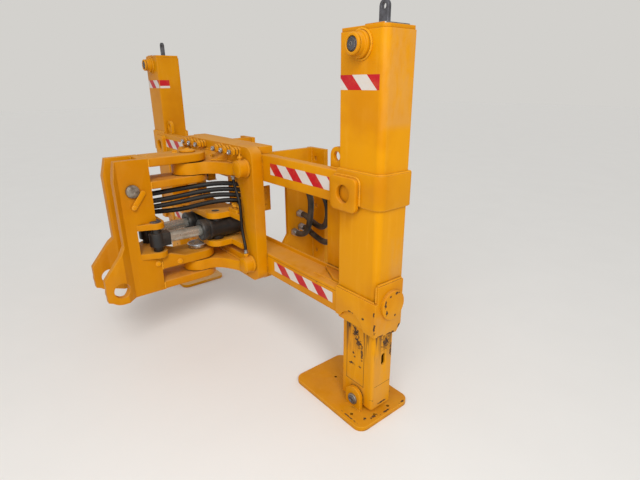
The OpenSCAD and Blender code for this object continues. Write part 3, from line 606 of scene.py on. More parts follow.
# %% Helper for small parts
class Bench:
    """Small parts in millimetres, placed by one of the two place helpers."""

    def __init__(self, at=place):
        self.bm = bmesh.new()
        self.at = at

    def take(self, mesh):
        self.bm.from_mesh(mesh)
        bpy.data.meshes.remove(mesh)

    def set_down(self, part, start, axis):
        """Moves a part that was made upright at zero to its place, and adds it."""
        turn = Vector(axis).to_track_quat("Z", "Y").to_matrix().to_4x4()
        there = Matrix.Translation(self.at(*start)) @ turn
        bmesh.ops.transform(part, matrix=there, verts=part.verts)
        bmesh.ops.recalc_face_normals(part, faces=part.faces)
        mesh = bpy.data.meshes.new("part")
        part.to_mesh(mesh)
        part.free()
        self.take(mesh)

    def turned(self, start, axis, profile, steps=28):
        """A round part from (radius, height) pairs along its axis."""
        part = bmesh.new()
        line = [part.verts.new((radius * MM, 0, along * MM)) for radius, along in profile]
        edges = [part.edges.new(pair) for pair in zip(line, line[1:])]
        bmesh.ops.spin(part, geom=line + edges, axis=(0, 0, 1), cent=(0, 0, 0), dvec=(0, 0, 0),
                       angle=tau, steps=steps, use_merge=True)
        bmesh.ops.remove_doubles(part, verts=part.verts, dist=0.00001)
        self.set_down(part, start, axis)

    def hexagon(self, start, axis, across, height, chamfer=1.6):
        part = bmesh.new()
        radius = across / math.sqrt(3) * MM
        bmesh.ops.create_cone(part, cap_ends=True, segments=6, radius1=radius, radius2=radius,
                              depth=height * MM)
        bmesh.ops.translate(part, verts=part.verts, vec=(0, 0, height * MM / 2))
        rim = [e for e in part.edges if all(v.co.z > height * MM / 2 for v in e.verts)]
        bmesh.ops.bevel(part, geom=rim, offset=chamfer * MM, offset_type="OFFSET",
                        affect="EDGES", segments=2, profile=0.5, material=-1)
        self.set_down(part, start, axis)

    def show(self, name, body, material, slot="yellow_paint"):
        mesh = bpy.data.meshes.new(name)
        self.bm.to_mesh(mesh)
        self.bm.free()
        piece = show(name, mesh, material)
        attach(piece, body)
        print(name, "has", len(mesh.polygons), "faces")


print("the bench turns, cuts hexagons and shows its parts")

# %% [markdown]
# The fixed frame is square tube and flat plate, so it gets narrow edges. Its paint has gone
# where the cheeks and the lower rail are knocked, and those spots are listed one by one: a
# random mask would put them anywhere. The lower rail and the corner plates carry more dust
# than the pieces higher up.

# %% Fixed frame
RAIL_REAR = -12
cheek_blots = [
    (place(1183, -15, 640), (6, 14, 26)), (place(1183, -15, 566), (7, 8, 22)),
    (place(1187, -15, 500), (8, 9, 42)), (place(1190, 20, 454), (8, 30, 9)),
    (place(1190, 80, 447), (8, 42, 8)), (place(1190, 140, 462), (8, 14, 18)),
    (place(1205, 30, 610), (7, 9, 26)), (place(1205, 40, 565), (7, 10, 22)),
    (place(1205, 100, 640), (7, 20, 9)), (place(1205, 60, 634), (7, 10, 8)),
    (place(1205, 92, 540), (7, 10, 9)), (place(1190, 152, 590), (8, 10, 30)),
    (place(1120, -15, 520), (16, 8, 10)), (place(1042, -15, 521), (26, 8, 8)),
]
rail_cuts = [(place(-946, -13, 584), place(946, -11, 586))]
rail_blots = [
    (place(576, RAIL_REAR, 479), (26, 8, 6)), (place(678, RAIL_REAR, 480), (20, 8, 6)),
    (place(806, RAIL_REAR, 581), (12, 6, 5)), (place(941, RAIL_REAR, 600), (6, 8, 7)),
    (place(-640, RAIL_REAR, 480), (24, 8, 6)),
]
cheek_hazes = [(place(1186, 0, 436), place(1196, 150, 540)),
               (place(-1196, 0, 436), place(-1186, 150, 540))]
paint_cheek = yellow_paint("yellow_paint_cheek", dust=0.4, crease_soil_and_shade=0.8, chips=0.8, blots=cheek_blots,
                           hazes=cheek_hazes)
# The rail's shade darkens its paint as painted shading.
paint_rail = yellow_paint("yellow_paint_rail", dust=0.6, crease_soil_and_shade=0.7, chips=0.5, blots=rail_blots,
                          cuts=rail_cuts, shade=0.25)
paint_corner = yellow_paint("yellow_paint_corner", dust=0.55, crease_soil_and_shade=0.85, chips=0.6)
EDGE_WIDTHS = [
    ("upper_rail", 5, paint), ("lower_rail", 9, paint_rail), ("leg_tube_right", 2, paint_side),
    ("leg_tube_left", 2, paint_far), ("tube_collars", 3, paint), ("cheek_plates", 3, paint_cheek),
    ("lashing_lugs", 6, paint), ("lifting_eyes", 6, paint), ("corner_plates", 5, paint_corner),
    ("chassis_plates", 3, paint),
]
for node, width, material in EDGE_WIDTHS:
    piece = soften(node, "frame", width, material)
    print(node, len(piece.data.polygons), "faces")
soften("wear_pads", "frame", 0.5, plastic, 1)

# %% [markdown]
# Each tube ends in a cap with a plated cover and a dark lug. Below it sits the stepped boss of
# the leg cylinder's pin, with a rolled collar round its end and a dark hexagon in the middle.
# The cover and the pin's end could be pieces of their own, but the softened solids already
# have their shape and need only a second finish there, picked by where a face lies.

# %% Tube tops
REARWARD = (0, -1, 0)
LEG_X = 1060
TOP_PIN_Z = 1593
COVER_Z = 1654.3
LUG_Z = 1660.5
BOSS_FACE = -38.4
HEXAGON_Y, HOLE_Y, WASHER_Y, COLLAR_Y = -49, -53, -37, -41

caps = soften("tube_caps", "frame", 2, paint)
recoat(caps, plated, lambda face: face.center.z > place(0, 0, COVER_Z).z and face.normal.y > -0.9)
recoat(caps, dark_steel, lambda face: face.center.z > place(0, 0, LUG_Z).z)
bosses = soften("top_pins", "frame", 4, paint)
recoat(bosses, dark_steel, lambda face: face.center.y < place(0, BOSS_FACE, 0).y)

pin_hole = [(7, -1), (7, 2.5), (5.5, 3), (4.5, 1), (0, 0.6)]
pin_washer = [(25, 0), (33, 0), (33, 5), (25, 5)]
rolled_collar = [(26, 0), (36, 0), (37.5, 1.5), (37.5, 7), (35, 10), (29, 11), (26.5, 9), (26, 0)]
pin_ends = Bench()
collars = Bench()
for x in (LEG_X, -LEG_X):
    pin_ends.hexagon((x, HEXAGON_Y, TOP_PIN_Z), REARWARD, 38, 4, 1.5)
    pin_ends.turned((x, HOLE_Y, TOP_PIN_Z), REARWARD, pin_hole)
    pin_ends.turned((x, WASHER_Y, TOP_PIN_Z), REARWARD, pin_washer, 40)
    collars.turned((x, COLLAR_Y, TOP_PIN_Z), REARWARD, rolled_collar, 48)
pin_ends.show("top_pin_hexagons", "frame", dark_steel, "bare_steel")
collars.show("top_pin_collars", "frame", paint)

# %% [markdown]
# Warning tape is a thin printed film. It could be one more mask in the paint, but a film has a
# crisp edge of its own, so each length is a flat slab barely proud of the steel. The stripes
# come from X plus Z divided by their pitch, which makes them slant at 45 degrees everywhere,
# and each tape starts them at its own place. On the tubes it turns the inner edge.

# %% Warning tape
STRIPE_PITCH = 0.150
TAPE_T = 0.3
TAPE_IN = 0.2
TUBE_IN = 945


def striped_tape(name, red_from):
    """Red and pale stripes. red_from is where X plus Z starts a red one, in millimetres."""
    f = Finish(name)
    x, _, z = f.split(f.where)
    start = -(GROUND + red_from * MM) / STRIPE_PITCH
    turns = f.plus(f.maths("DIVIDE", f.plus(x, z), STRIPE_PITCH), start)
    red = f.maths("LESS_THAN", f.maths("FRACT", turns), 0.49)
    base = f.mix(red, colour(214, 206, 198), colour(190, 14, 30))
    base = f.mix(f.times(f.fade(f.noise(16, 5, 0.7), 0.45, 0.8), 0.22), base, DUST)
    scratches = f.fade(f.noise(1, 6, 0.8, vector=f.stretched(50, 50, 110)), 0.665, 0.69)
    base = f.mix(f.times(scratches, 0.7), base, STEEL_CHIP)
    return f.skin(base, 0.42, Specular_IOR_Level=0.3)


def slab(bench, low, high, edge, segments=2):
    part = bmesh.new()
    size = [(b - a) * MM for a, b in zip(low, high)]
    bmesh.ops.create_cube(part, size=1)
    bmesh.ops.scale(part, verts=part.verts, vec=size)
    bmesh.ops.bevel(part, geom=part.edges[:], offset=edge * MM, offset_type="OFFSET",
                    affect="EDGES", segments=segments, profile=0.5, material=-1)
    bench.set_down(part, [(a + b) / 2 for a, b in zip(low, high)], (0, 0, 1))


UPPER_BAND = (1038, 1095)
LOWER_BAND = (517, 569)
TUBE_BAND = (1440, 1493)


def on_rail(x0, x1, band):
    return [((x0, RAIL_REAR - TAPE_T, band[0]), (x1, RAIL_REAR + TAPE_IN, band[1]))]


TAPES = [
    ("tape_upper_right", 1526, on_rail(448, 898, UPPER_BAND)),
    ("tape_lower_right", 1036, on_rail(447, 920, LOWER_BAND)),
    ("tape_upper_left", 166, on_rail(-918, -468, UPPER_BAND)),
    ("tape_lower_left", 96, on_rail(-920, -447, LOWER_BAND)),
    ("tape_tube_right", 2432, [
        ((949, -TAPE_T, TUBE_BAND[0]), (1152, TAPE_IN, TUBE_BAND[1])),
        ((TUBE_IN - TAPE_T, 4, TUBE_BAND[0]), (TUBE_IN + TAPE_IN, 74, TUBE_BAND[1]))]),
    ("tape_tube_left", 360, [
        ((-1148, -TAPE_T, TUBE_BAND[0]), (-949, TAPE_IN, TUBE_BAND[1])),
        ((-TUBE_IN - TAPE_IN, 4, TUBE_BAND[0]), (-TUBE_IN + TAPE_T, 74, TUBE_BAND[1]))]),
]
for name, red_from, slabs in TAPES:
    tape = Bench()
    for low, high in slabs:
        slab(tape, low, high, 0.2, 1)
    tape.show(name, "frame", striped_tape(name, red_from))

# %% [markdown]
# Welds run where plate meets plate: round the collars, the lugs, the bosses and the cheeks,
# and along the chassis plates at the back. A smooth rod would look like a rubber seal. A real
# bead swells and thins as the welder moves, so the rod's radius follows two sine waves of
# different length, which never quite repeat.

# %% Frame welds
RIPPLE = 3.6
TUBE_OUT = 1175
TUBE_DEPTH = 160
TUBE_CORNER = 28
LUG_CORNER = 26
LUG_REAR = -13


def bead(bench, points, radius):
    """A weld bead along the points."""
    line = [bench.at(*p) for p in points]
    route = []
    for a, b in zip(line, line[1:]):
        count = max(1, round((b - a).length / (RIPPLE * MM)))
        route += [a.lerp(b, k / count) for k in range(count)]
    route.append(line[-1])
    radii = [1 + 0.14 * sin(2.2 * k) + 0.09 * sin(0.31 * k) for k in range(len(route))]
    bench.take(round_run("bead", route, radius * MM, radii, sides=1))


def round_tube(out, z):
    """Along a tube's three free faces, round its rear corner, a little way out."""
    x, y, r = TUBE_OUT - TUBE_CORNER, TUBE_CORNER, TUBE_CORNER + out
    corner = [(x + r * cos(a), y + r * sin(a), z) for a in (radians(v) for v in range(-90, 1, 15))]
    far = TUBE_DEPTH + out
    return [(TUBE_IN, -out, z)] + corner + [(TUBE_OUT + out, far, z), (TUBE_IN, far, z)]


def lug_arc(x, first, last):
    turns = (radians(v) for v in range(first, last, 18))
    return [(x + LUG_CORNER * cos(a), LUG_REAR, 1091 + LUG_CORNER * sin(a)) for a in turns]


def round_lug():
    """Up one side of a lashing lug, over its top and down the other side."""
    over = lug_arc(1053, 0, 91) + lug_arc(949, 90, 181)
    return [(1079, LUG_REAR, 1008)] + over + [(923, LUG_REAR, 996)]


def ring_points(x, y, z, radius):
    turns = (tau * k / 36 for k in range(37))
    return [(x + radius * cos(a), y, z + radius * sin(a)) for a in turns]


seams = [
    (round_tube(3, 1138), 5), (round_tube(3, 1004), 4), (round_lug(), 4.5),
    (ring_points(LEG_X, -2, TOP_PIN_Z, 50), 5),
    ([(1180, 6, 689), (1180, 148, 689)], 5), ([(948, -5, 612), (1172, -5, 612)], 4.5),
    ([(1178, -1, 616), (1178, -1, 684)], 3.5), ([(943, 133, 545), (943, 133, 1005)], 4),
    ([(742, 24, 599), (877, 29, 599), (943, 29, 599)], 3),
    ([(868, 20, 1131), (942, 20, 1131)], 3.5),
    ([(316, 42, 998), (316, 42, 1066)], 4), ([(344, 42, 998), (344, 42, 1066)], 4),
    ([(316, 120, 482), (316, 120, 594)], 4), ([(344, 120, 482), (344, 120, 594)], 4),
    ([(316, 333, 462), (316, 333, 1126)], 4), ([(344, 333, 462), (344, 333, 1126)], 4),
]
welds = Bench()
for side in (1, -1):
    for points, radius in seams:
        bead(welds, [(side * x, y, z) for x, y, z in points], radius)
welds.show("frame_welds", "frame", paint_weld)

# %% [markdown]
# The legs and pads could wear the frame's paint, but their marks are their own. A leg is
# chipped where it slides, has dirty runs below the tube's mouth and shows the dark joint line
# of a let-in panel, which four thin boxes draw. The right pad is scraped to steel along its
# border, and the left one lies under pale dry dust, so it has a dust colour of its own.

# %% Legs and pads
FOOT_PIN_Z = 66
FOOT_PIN_FACES = ((-13, -1), (173, 1))
FOOT_PIN_END = [(19, 0), (19, 2), (17, 4), (12, 4), (10, 1), (0, 1)]


def outline(x0, x1, z0, z1, y, wide=1.6):
    """Four thin boxes along the border of a panel on a rear face."""
    sides = [((x0, z0), (x1, z0)), ((x0, z1), (x1, z1)), ((x0, z0), (x0, z1)), ((x1, z0), (x1, z1))]
    return [(place(a[0] - wide, y - 2, a[1] - wide), place(b[0] + wide, y + 2, b[1] + wide))
            for a, b in sides]


leg_blots = [
    (place(1044, 18, 408), (30, 10, 46)), (place(1066, 18, 364), (30, 10, 38)),
    (place(1089, 18, 322), (10, 8, 62)), (place(1008, 18, 430), (10, 8, 22)),
    (place(1034, 18, 296), (12, 8, 10)), (place(1044, 18, 278), (12, 8, 8)),
    (place(1026, 18, 236), (34, 8, 12)), (place(1078, 18, 240), (14, 8, 10)),
    (place(1157, 96, 380), (5, 34, 46)), (place(1157, 132, 330), (5, 8, 60)),
    (place(1157, 84, 292), (5, 14, 26)), (place(1157, 90, 60), (6, 46, 8)),
    (place(1152, 26, 96), (12, 12, 9)), (place(-1060, 18, 380), (20, 8, 40)),
    (place(-1030, 18, 250), (24, 8, 12)),
]
leg_cuts = outline(992, 1103, 143, 520, 18) + [(place(1154, 36, 162.6), place(1159, 140, 165))]
leg_drips = (place(-1200, 0, 250), place(1200, 150, 470))
leg_hazes = [(place(1150, 36, 60), place(1160, 150, 320)),
             (place(-1160, 36, 60), place(-1150, 150, 320)),
             (place(980, 10, 60), place(1100, 20, 150))]
paint_leg = yellow_paint("yellow_paint_leg", dust=0.5, crease_soil_and_shade=0.8, chips=0.6, blots=leg_blots,
                         cuts=leg_cuts, drips=leg_drips, hazes=leg_hazes)
pad_blots = [
    (place(1184, 100, 22), (8, 60, 6)), (place(1172, 20, 22), (12, 40, 6)),
    (place(1100, -66, 22), (70, 6, 5)), (place(1190, 196, 22), (10, 26, 6)),
    (place(1156, -20, 22), (14, 12, 6)),
]
# The right pad's shade darkens its paint as painted shading.
paint_pads = {
    "right": yellow_paint("yellow_paint_pad", dust=0.2, crease_soil_and_shade=0.9, chips=0.8, rubbed_and_highlight=0.9,
                          blots=pad_blots, shade=0.3),
    "left": yellow_paint("yellow_paint_far_pad", dust=2.6, crease_soil_and_shade=0.7, chips=0.6, rubbed_and_highlight=0.9,
                         dust_colour=colour(230, 186, 124)),
}
for side, sign in (("right", 1), ("left", -1)):
    soften(f"leg_{side}", f"leg_{side}", 2.5, paint_leg)
    soften(f"foot_pin_{side}", f"leg_{side}", 4, pin_steel, 3)
    soften(f"pad_{side}", f"pad_{side}", 9, paint_pads[side], 4)
    pin = Bench()
    for y, way in FOOT_PIN_FACES:
        pin.turned((sign * LEG_X, y, FOOT_PIN_Z), (0, way, 0), FOOT_PIN_END)
    pin.show(f"foot_pin_end_{side}", f"leg_{side}", dark_steel, "bare_steel")

# %% [markdown]
# The carriage is a heavy casting-like frame with generous rounded edges. With the narrow bevel
# of the frame it would look cut from plate, so its bevel is wide, while its tongues and
# brackets, which are plate, are rounded less. Much of it is dusty, so it has a second paint,
# which also carries a little more painted shading.

# %% Carriage
CARRIAGE_BACK = 155.5
for node, width, material in [
    ("carriage_frame", 13, paint_dusty), ("clamp_cylinders", 7, paint),
    ("trunnion_brackets", 7, paint_dusty), ("trunnion_caps", 4, paint),
    ("upper_tongue", 8, paint_dusty), ("lower_tongue", 8, paint),
    ("hose_bracket", 2, paint), ("jack_bolts", 2, paint),
]:
    piece = soften(node, "carriage", width, material)
    print(node, len(piece.data.polygons), "faces")

# %% [markdown]
# Four clamp cylinders lock the carriage on its rails, and six jacking bolts stand along its
# top. Domed ends, oil fittings, hexagon nuts and hollow plated tips are small turned parts.
# One shape could be copied for all, but each kind has its own profile, which is only a short
# line of radii for the lathe.

# %% Carriage fittings
UP = (0, 0, 1)
CLAMP_X = 350
CLAMP_Z = (1061.5, 538)
JACK_X = (110, 200, 290)
JACK_Z = 1140
NUT_STEPS = (0, 17, 34)
CAP_BOLT_X = (166, 196, 226)
CAP_TOP = 828.6
CLAMP_DOME = [(37, -1), (37, 1), (34, 3.5), (24, 5.5), (12, 6.5), (0, 6.5)]
CLAMP_RING = [(43, -2), (47, -2), (47, 3), (44, 6), (43, 6)]
OIL_NIPPLE = [(6, 0), (6, 4), (4, 6), (4, 9), (5, 11), (3, 14), (0, 14)]
JACK_TIP = [(11.5, 0), (12.5, 2), (12.5, 9), (11, 10.5), (8, 10.5), (6.5, 8), (5.5, 3), (0, 2)]


def bolt(bench, start, axis, across, height):
    """A hexagon head on its washer."""
    rim = across * 0.68
    bench.turned(start, axis, [(0, 0), (rim, 0), (rim, 2), (rim - 1, 3), (0, 3)])
    bench.hexagon([s + 2.6 * a for s, a in zip(start, axis)], axis, across, height)


domes, bolts, tips, nuts = Bench(by_pivot), Bench(by_pivot), Bench(by_pivot), Bench(by_pivot)
for x in (CLAMP_X, -CLAMP_X):
    for z in CLAMP_Z:
        domes.turned((x, CARRIAGE_BACK - 55, z), REARWARD, CLAMP_DOME, 40)
        domes.turned((x, CARRIAGE_BACK - 8, z), REARWARD, CLAMP_RING, 40)
        inward = x - math.copysign(10, x)
        bolts.hexagon((inward, CARRIAGE_BACK - 27.5, z + 52), UP, 22, 8)
        bolts.turned((inward, CARRIAGE_BACK - 27.5, z + 60), UP, OIL_NIPPLE)
for k in JACK_X:
    for x in (k, -k):
        tips.turned((x, CARRIAGE_BACK - 54, JACK_Z), REARWARD, JACK_TIP)
        for far in NUT_STEPS:
            nuts.hexagon((x, CARRIAGE_BACK + 0.5 - far, JACK_Z), REARWARD, 40, 11, 2)
for x in CAP_BOLT_X:
    for side in (1, -1):
        bolt(bolts, (side * x, 163 + abs(x - 196) / 3, CAP_TOP), UP, 26, 8)
domes.show("clamp_domes", "carriage", paint)
bolts.show("carriage_bolts", "carriage", paint_weld)
tips.show("jack_tips", "carriage", plated, "polished_pin")
nuts.show("jack_nuts", "carriage", paint)

# %% [markdown]
# Small stop blocks sit beside the window of the carriage, and its seams run along the plates
# that close it. The blocks are plain bevelled cubes, which is all that a sawn block is.

# %% Carriage blocks and welds
blocks = Bench(by_pivot)
slab(blocks, (252, 158, 772), (277, 190, 800), 4)
slab(blocks, (262, 160, 764), (277, 188, 774), 3)
slab(blocks, (-277, 158, 772), (-254, 190, 798), 4)
slab(blocks, (-26, 96, 952), (26, 146, 958), 2)
blocks.show("carriage_blocks", "carriage", paint)

carriage_welds = Bench(by_pivot)
for points, radius in [
    ([(-296, 153.5, 1074), (-156, 153.5, 1074)], 5), ([(156, 153.5, 1074), (296, 153.5, 1074)], 5),
    ([(-298, 153.5, 1008), (298, 153.5, 1008)], 5), ([(-298, 153.5, 522), (298, 153.5, 522)], 5),
    ([(-298, 153.5, 458), (298, 153.5, 458)], 5), ([(-148, 153, 1076), (-74, 99, 1076)], 4),
    ([(148, 153, 1076), (74, 99, 1076)], 4), ([(-148, 153.5, 1114), (148, 153.5, 1114)], 4),
]:
    bead(carriage_welds, points, radius)
carriage_welds.show("carriage_welds", "carriage", paint_weld)

# %% [markdown]
# The swing post carries the boom. Its cheeks, ears and lugs are the thickest plate of all, so
# their edges are soft, and its paint is darkened with painted shading for the dimmer light it
# stands in. The swing pins are one solid, but their upper ends are painted over and their hind
# ones are dull, so two recoats part them.

# %% Swing post
PAINTED_ABOVE = 1100
DULL_BEHIND = -180

for node, width, material in [
    ("post_cheek_right", 7, paint_post), ("post_cheek_left", 7, paint_post),
    ("post_webs", 4, paint_post), ("upper_ears", 8, paint_post),
    ("lower_ears", 8, paint_post), ("eye_lugs", 6, paint_post),
]:
    piece = soften(node, "swing_post", width, material)
    print(node, len(piece.data.polygons), "faces")
soften("ram_cross_pin", "swing_post", 4, pin_steel, 3)
pins = soften("swing_pins", "swing_post", 3, bright_steel, 3)
recoat(pins, paint, lambda face: face.center.z > place(0, 0, PAINTED_ABOVE).z)
recoat(pins, pin_steel, lambda face: face.center.y < by_pivot(0, DULL_BEHIND, 0).y)

# %% [markdown]
# A flat bar with round ends keeps the cross pin from turning. A box would lack its round
# ends, so it starts as a circle: half of its points are pulled out to the bar's length, and
# the face is extruded to its thickness. Beside it sit the post's bolts and the cover of the
# upper swing pin.

# %% Post bolts and locking bar
CROSS_PIN = (-340, 970)
CHEEK_OUT = 92
BAR_LENGTH = 84
BAR_WAY = (0, -0.6, -0.8)
PIN_COVER = [(34, 0), (34, 2), (31, 4), (14, 4), (12, 2), (0, 2)]


def bar(bench, start, axis, along, radius, length, thick):
    """A flat bar with round ends, lying across the axis; along is its direction."""
    part = bmesh.new()
    bmesh.ops.create_circle(part, cap_ends=True, segments=28, radius=radius * MM)
    far_end = [v for v in part.verts if v.co.x > 0.000001]
    bmesh.ops.translate(part, verts=far_end, vec=(length * MM, 0, 0))
    raised = bmesh.ops.extrude_face_region(part, geom=part.faces[:])["geom"]
    top_points = [v for v in raised if isinstance(v, bmesh.types.BMVert)]
    bmesh.ops.translate(part, verts=top_points, vec=(0, 0, thick * MM))
    rim = [e for e in part.edges if all(v.co.z > thick * MM / 2 for v in e.verts)]
    bmesh.ops.bevel(part, geom=rim, offset=2 * MM, offset_type="OFFSET", affect="EDGES",
                    segments=2, profile=0.5, material=-1)
    turn = Vector(axis).cross(Vector(along))
    lie = Matrix((along, turn, axis)).transposed()
    upright = Vector(axis).to_track_quat("Z", "Y").to_matrix().inverted()
    bmesh.ops.transform(part, matrix=(upright @ lie).to_4x4(), verts=part.verts)
    bench.set_down(part, start, axis)


post_bolts = Bench(by_pivot)
for x in (CHEEK_OUT, -CHEEK_OUT):
    for y, z in ((-264, 566), (-146, 550)):
        bolt(post_bolts, (x, y, z), (math.copysign(1, x), 0, 0), 22, 8)
bolt(post_bolts, (-22, -61, 1121), UP, 24, 9)
post_bolts.turned((0, 0, 1130.5), UP, PIN_COVER, 40)
bolt(post_bolts, (0, 0, 1132), UP, 20, 7)
post_bolts.show("post_bolts", "swing_post", paint_weld)

bar_y, bar_z = CROSS_PIN[0] + 46, CROSS_PIN[1] - 14
bolt_y, bolt_z = bar_y + BAR_WAY[1] * BAR_LENGTH, bar_z + BAR_WAY[2] * BAR_LENGTH
lock = Bench(by_pivot)
bar(lock, (CHEEK_OUT, bar_y, bar_z), (1, 0, 0), BAR_WAY, 13, BAR_LENGTH, 12)
bolt(lock, (CHEEK_OUT + 12, bolt_y, bolt_z), (1, 0, 0), 17, 6)
lock.show("pin_lock", "swing_post", paint_weld)

# %% [markdown]
# Pins end in turned shapes: a polished dish on the lower swing pin, centred ends on the cross
# pin and caps over the eyes. Their profiles are lists of radius and height, read outwards, so
# a dish is only a profile whose middle lies lower than its rim.

# %% Pin ends and post welds
DISH_END = [(49, 0), (52, 1), (54, 6), (53, 9), (50, 10), (44, 9), (30, 6), (0, 4)]
CROSS_PIN_END = [(26, -1), (26, 1.5), (22, 3), (8, 3), (6, 1), (0, 1)]
EYE_CAP_ABOVE = [(30, 0), (31, 3), (29, 7), (22, 9), (8, 9), (6, 6), (0, 6)]
EYE_CAP_BELOW = [(30, 0), (31, 3), (29, 7), (22, 9), (0, 9)]
DISH_Z = 592
CROSS_PIN_OUT = 106
EYE = (85, -250, 700)
EYE_LUG_TOP, EYE_LUG_UNDER = 793, 607

dish = Bench(by_pivot)
dish.turned((0, 0, DISH_Z), UP, DISH_END, 48)
dish.show("swing_pin_dish", "swing_post", dish_steel, "polished_pin")
cross_ends = Bench(by_pivot)
for x in (CROSS_PIN_OUT, -CROSS_PIN_OUT):
    cross_ends.turned((x, *CROSS_PIN), (math.copysign(1, x), 0, 0), CROSS_PIN_END, 40)
cross_ends.show("cross_pin_ends", "swing_post", pin_steel, "bare_steel")
caps_on_eyes = Bench(by_pivot)
for x in (EYE[0], -EYE[0]):
    caps_on_eyes.turned((x, EYE[1], EYE_LUG_TOP), UP, EYE_CAP_ABOVE, 36)
    caps_on_eyes.turned((x, EYE[1], EYE_LUG_UNDER), (0, 0, -1), EYE_CAP_BELOW, 36)
caps_on_eyes.show("eye_pin_caps", "swing_post", dark_steel, "bare_steel")

post_welds = Bench(by_pivot)
for x in (CHEEK_OUT, -CHEEK_OUT):
    for low, high in ((968, 1003), (1080, 1116), (412, 452), (528, 572)):
        bead(post_welds, [(x, -243, low), (x, -243, high)], 3.5)
for x in (54, -54):
    bead(post_welds, [(x, -283, 966), (x, -283, 1118)], 4)
    bead(post_welds, [(x, -283, 412), (x, -283, 600)], 4)
    bead(post_welds, [(x, -383, 610), (x, -383, 790)], 4)
post_welds.show("post_welds", "swing_post", paint_weld)

# %% [markdown]
# The slew cylinders turn the post. Each barrel turns on its trunnion while its rod slides, so
# the two ride on bodies of their own. The gland, the rear cap and the ports could be moved by
# hand into line with the slanting barrel. It is simpler to work out one unit vector along the
# barrel and to turn every ring on that axis.

# %% Slew cylinders
TRUNNION = (100, 85, 700)
EYE_END_Y = by_pivot(0, EYE[1] + 63, 0).y
GLAND = [(57, -4), (59, -2), (59, 8), (56, 12), (46, 13), (42, 11), (33, 11)]
BAND = [(55, -5), (58.5, -4), (58.5, 4), (55, 5)]
REAR_CAP = [(56, -6), (58, -4), (58, 2), (52, 6), (0, 7)]
PORT = [(17, -4), (17, 3), (15, 5), (0, 5)]
GLAND_AT, BAND_AT, CAP_AT, PORTS_AT = 88, 52, -258, (-240, -196)

for side, sign in (("right", 1), ("left", -1)):
    soften(f"slew_barrel_{side}", f"slew_barrel_{side}", 4, black, 3)
    rod = soften(f"slew_rod_{side}", f"slew_rod_{side}", 4, rod_steel, 3)
    recoat(rod, black, lambda face: face.center.y < EYE_END_Y)
    base = Vector((sign * TRUNNION[0], TRUNNION[1], TRUNNION[2]))
    along = Vector((sign * EYE[0], EYE[1], EYE[2])) - base
    along.normalize()
    barrel = Bench(by_pivot)
    barrel.turned(base + along * GLAND_AT, along, GLAND, 48)
    barrel.turned(base + along * BAND_AT, along, BAND, 48)
    barrel.turned(base + along * CAP_AT, -along, REAR_CAP, 48)
    for far in PORTS_AT:
        port = base + along * far + Vector((0, 0, 50))
        barrel.turned(port, UP, PORT)
        barrel.hexagon(port + Vector((0, 0, 4)), UP, 20, 6)
    barrel.show(f"slew_barrel_rings_{side}", f"slew_barrel_{side}", black, "black_paint")

# %% [markdown]
# Every hose ends in a crimped ferrule and a hexagon nut. The swing hoses have theirs on the
# carriage's bracket and again at the plate in the post, where the nuts also show on the far
# side of the plate. One helper makes them all: it reads the hose's first two points, so each
# fitting lies in line with its hose without an angle being typed.

# %% Hose fittings
def fitting(bench, start, towards, radius):
    """A nut and a grooved ferrule round a hose's end, which points towards its next point."""
    way = (Vector(towards) - Vector(start)).normalized()
    r = radius + 2.4
    long = radius * 2.3
    bench.hexagon(start, way, 2 * r + 0.6, radius * 0.8)
    profile = [(radius - 2, 0), (r, 0)]
    for k in range(3):
        at = long * (0.42 + 0.18 * k)
        profile += [(r, at - 2.2), (r - 1.6, at - 1.2), (r - 1.6, at + 1.2), (r, at + 2.2)]
    bench.turned(start, way, profile + [(r, long - 1), (r - 1, long), (radius - 2, long)], 24)


POST_PLATE, POST_NUT, POST_STUB_AT = -300.3, -312.3, -320
FRAME_PLATE, FRAME_NUT, FRAME_STUB_AT = 40, 317.5, 309
BRACKET_NUT = 296
POST_STUB = [(11, 0), (11, 9), (9, 11), (0, 11)]
FRAME_STUB = [(13, 0), (13, 10), (11, 12), (0, 12)]

front_ends = Bench(by_pivot)
rear_ends = Bench(by_pivot)
for route in SWING_ROUTES:
    fitting(front_ends, route[0], route[1], SWING_HOSE_R)
    x, _, z = route[-1]
    fitting(rear_ends, (x, POST_PLATE, z), route[-2], SWING_HOSE_R)
    rear_ends.hexagon((x, POST_NUT, z), REARWARD, 28, 8)
    rear_ends.turned((x, POST_STUB_AT, z), REARWARD, POST_STUB)
    front_ends.hexagon((BRACKET_NUT, *route[0][1:]), (1, 0, 0), 29, 8)
fitting(front_ends, CLAMP_ROUTE[0], CLAMP_ROUTE[1], CLAMP_HOSE_R)
fitting(front_ends, CLAMP_ROUTE[-1], CLAMP_ROUTE[-2], CLAMP_HOSE_R)
front_ends.show("hose_ends_carriage", "carriage", plated, "polished_pin")
rear_ends.show("hose_ends_post", "swing_post", plated, "polished_pin")
frame_ends = Bench()
for route in FRAME_ROUTES:
    fitting(frame_ends, route[0], route[1], FRAME_HOSE_R)
    fitting(frame_ends, (route[-1][0], FRAME_PLATE, route[-1][2]), route[-2], FRAME_HOSE_R)
    frame_ends.hexagon((FRAME_NUT, *route[0][1:]), (-1, 0, 0), 34, 9)
    frame_ends.turned((FRAME_STUB_AT, *route[0][1:]), (-1, 0, 0), FRAME_STUB)
frame_ends.show("hose_ends_frame", "frame", plated, "polished_pin")

# %% [markdown]
# A plain pale floor takes the shadow. A curved studio sweep would hide the horizon as well,
# but a wide flat grid with a matching backdrop does so with one face.

# %% Floor
FLOOR_SIZE = 60

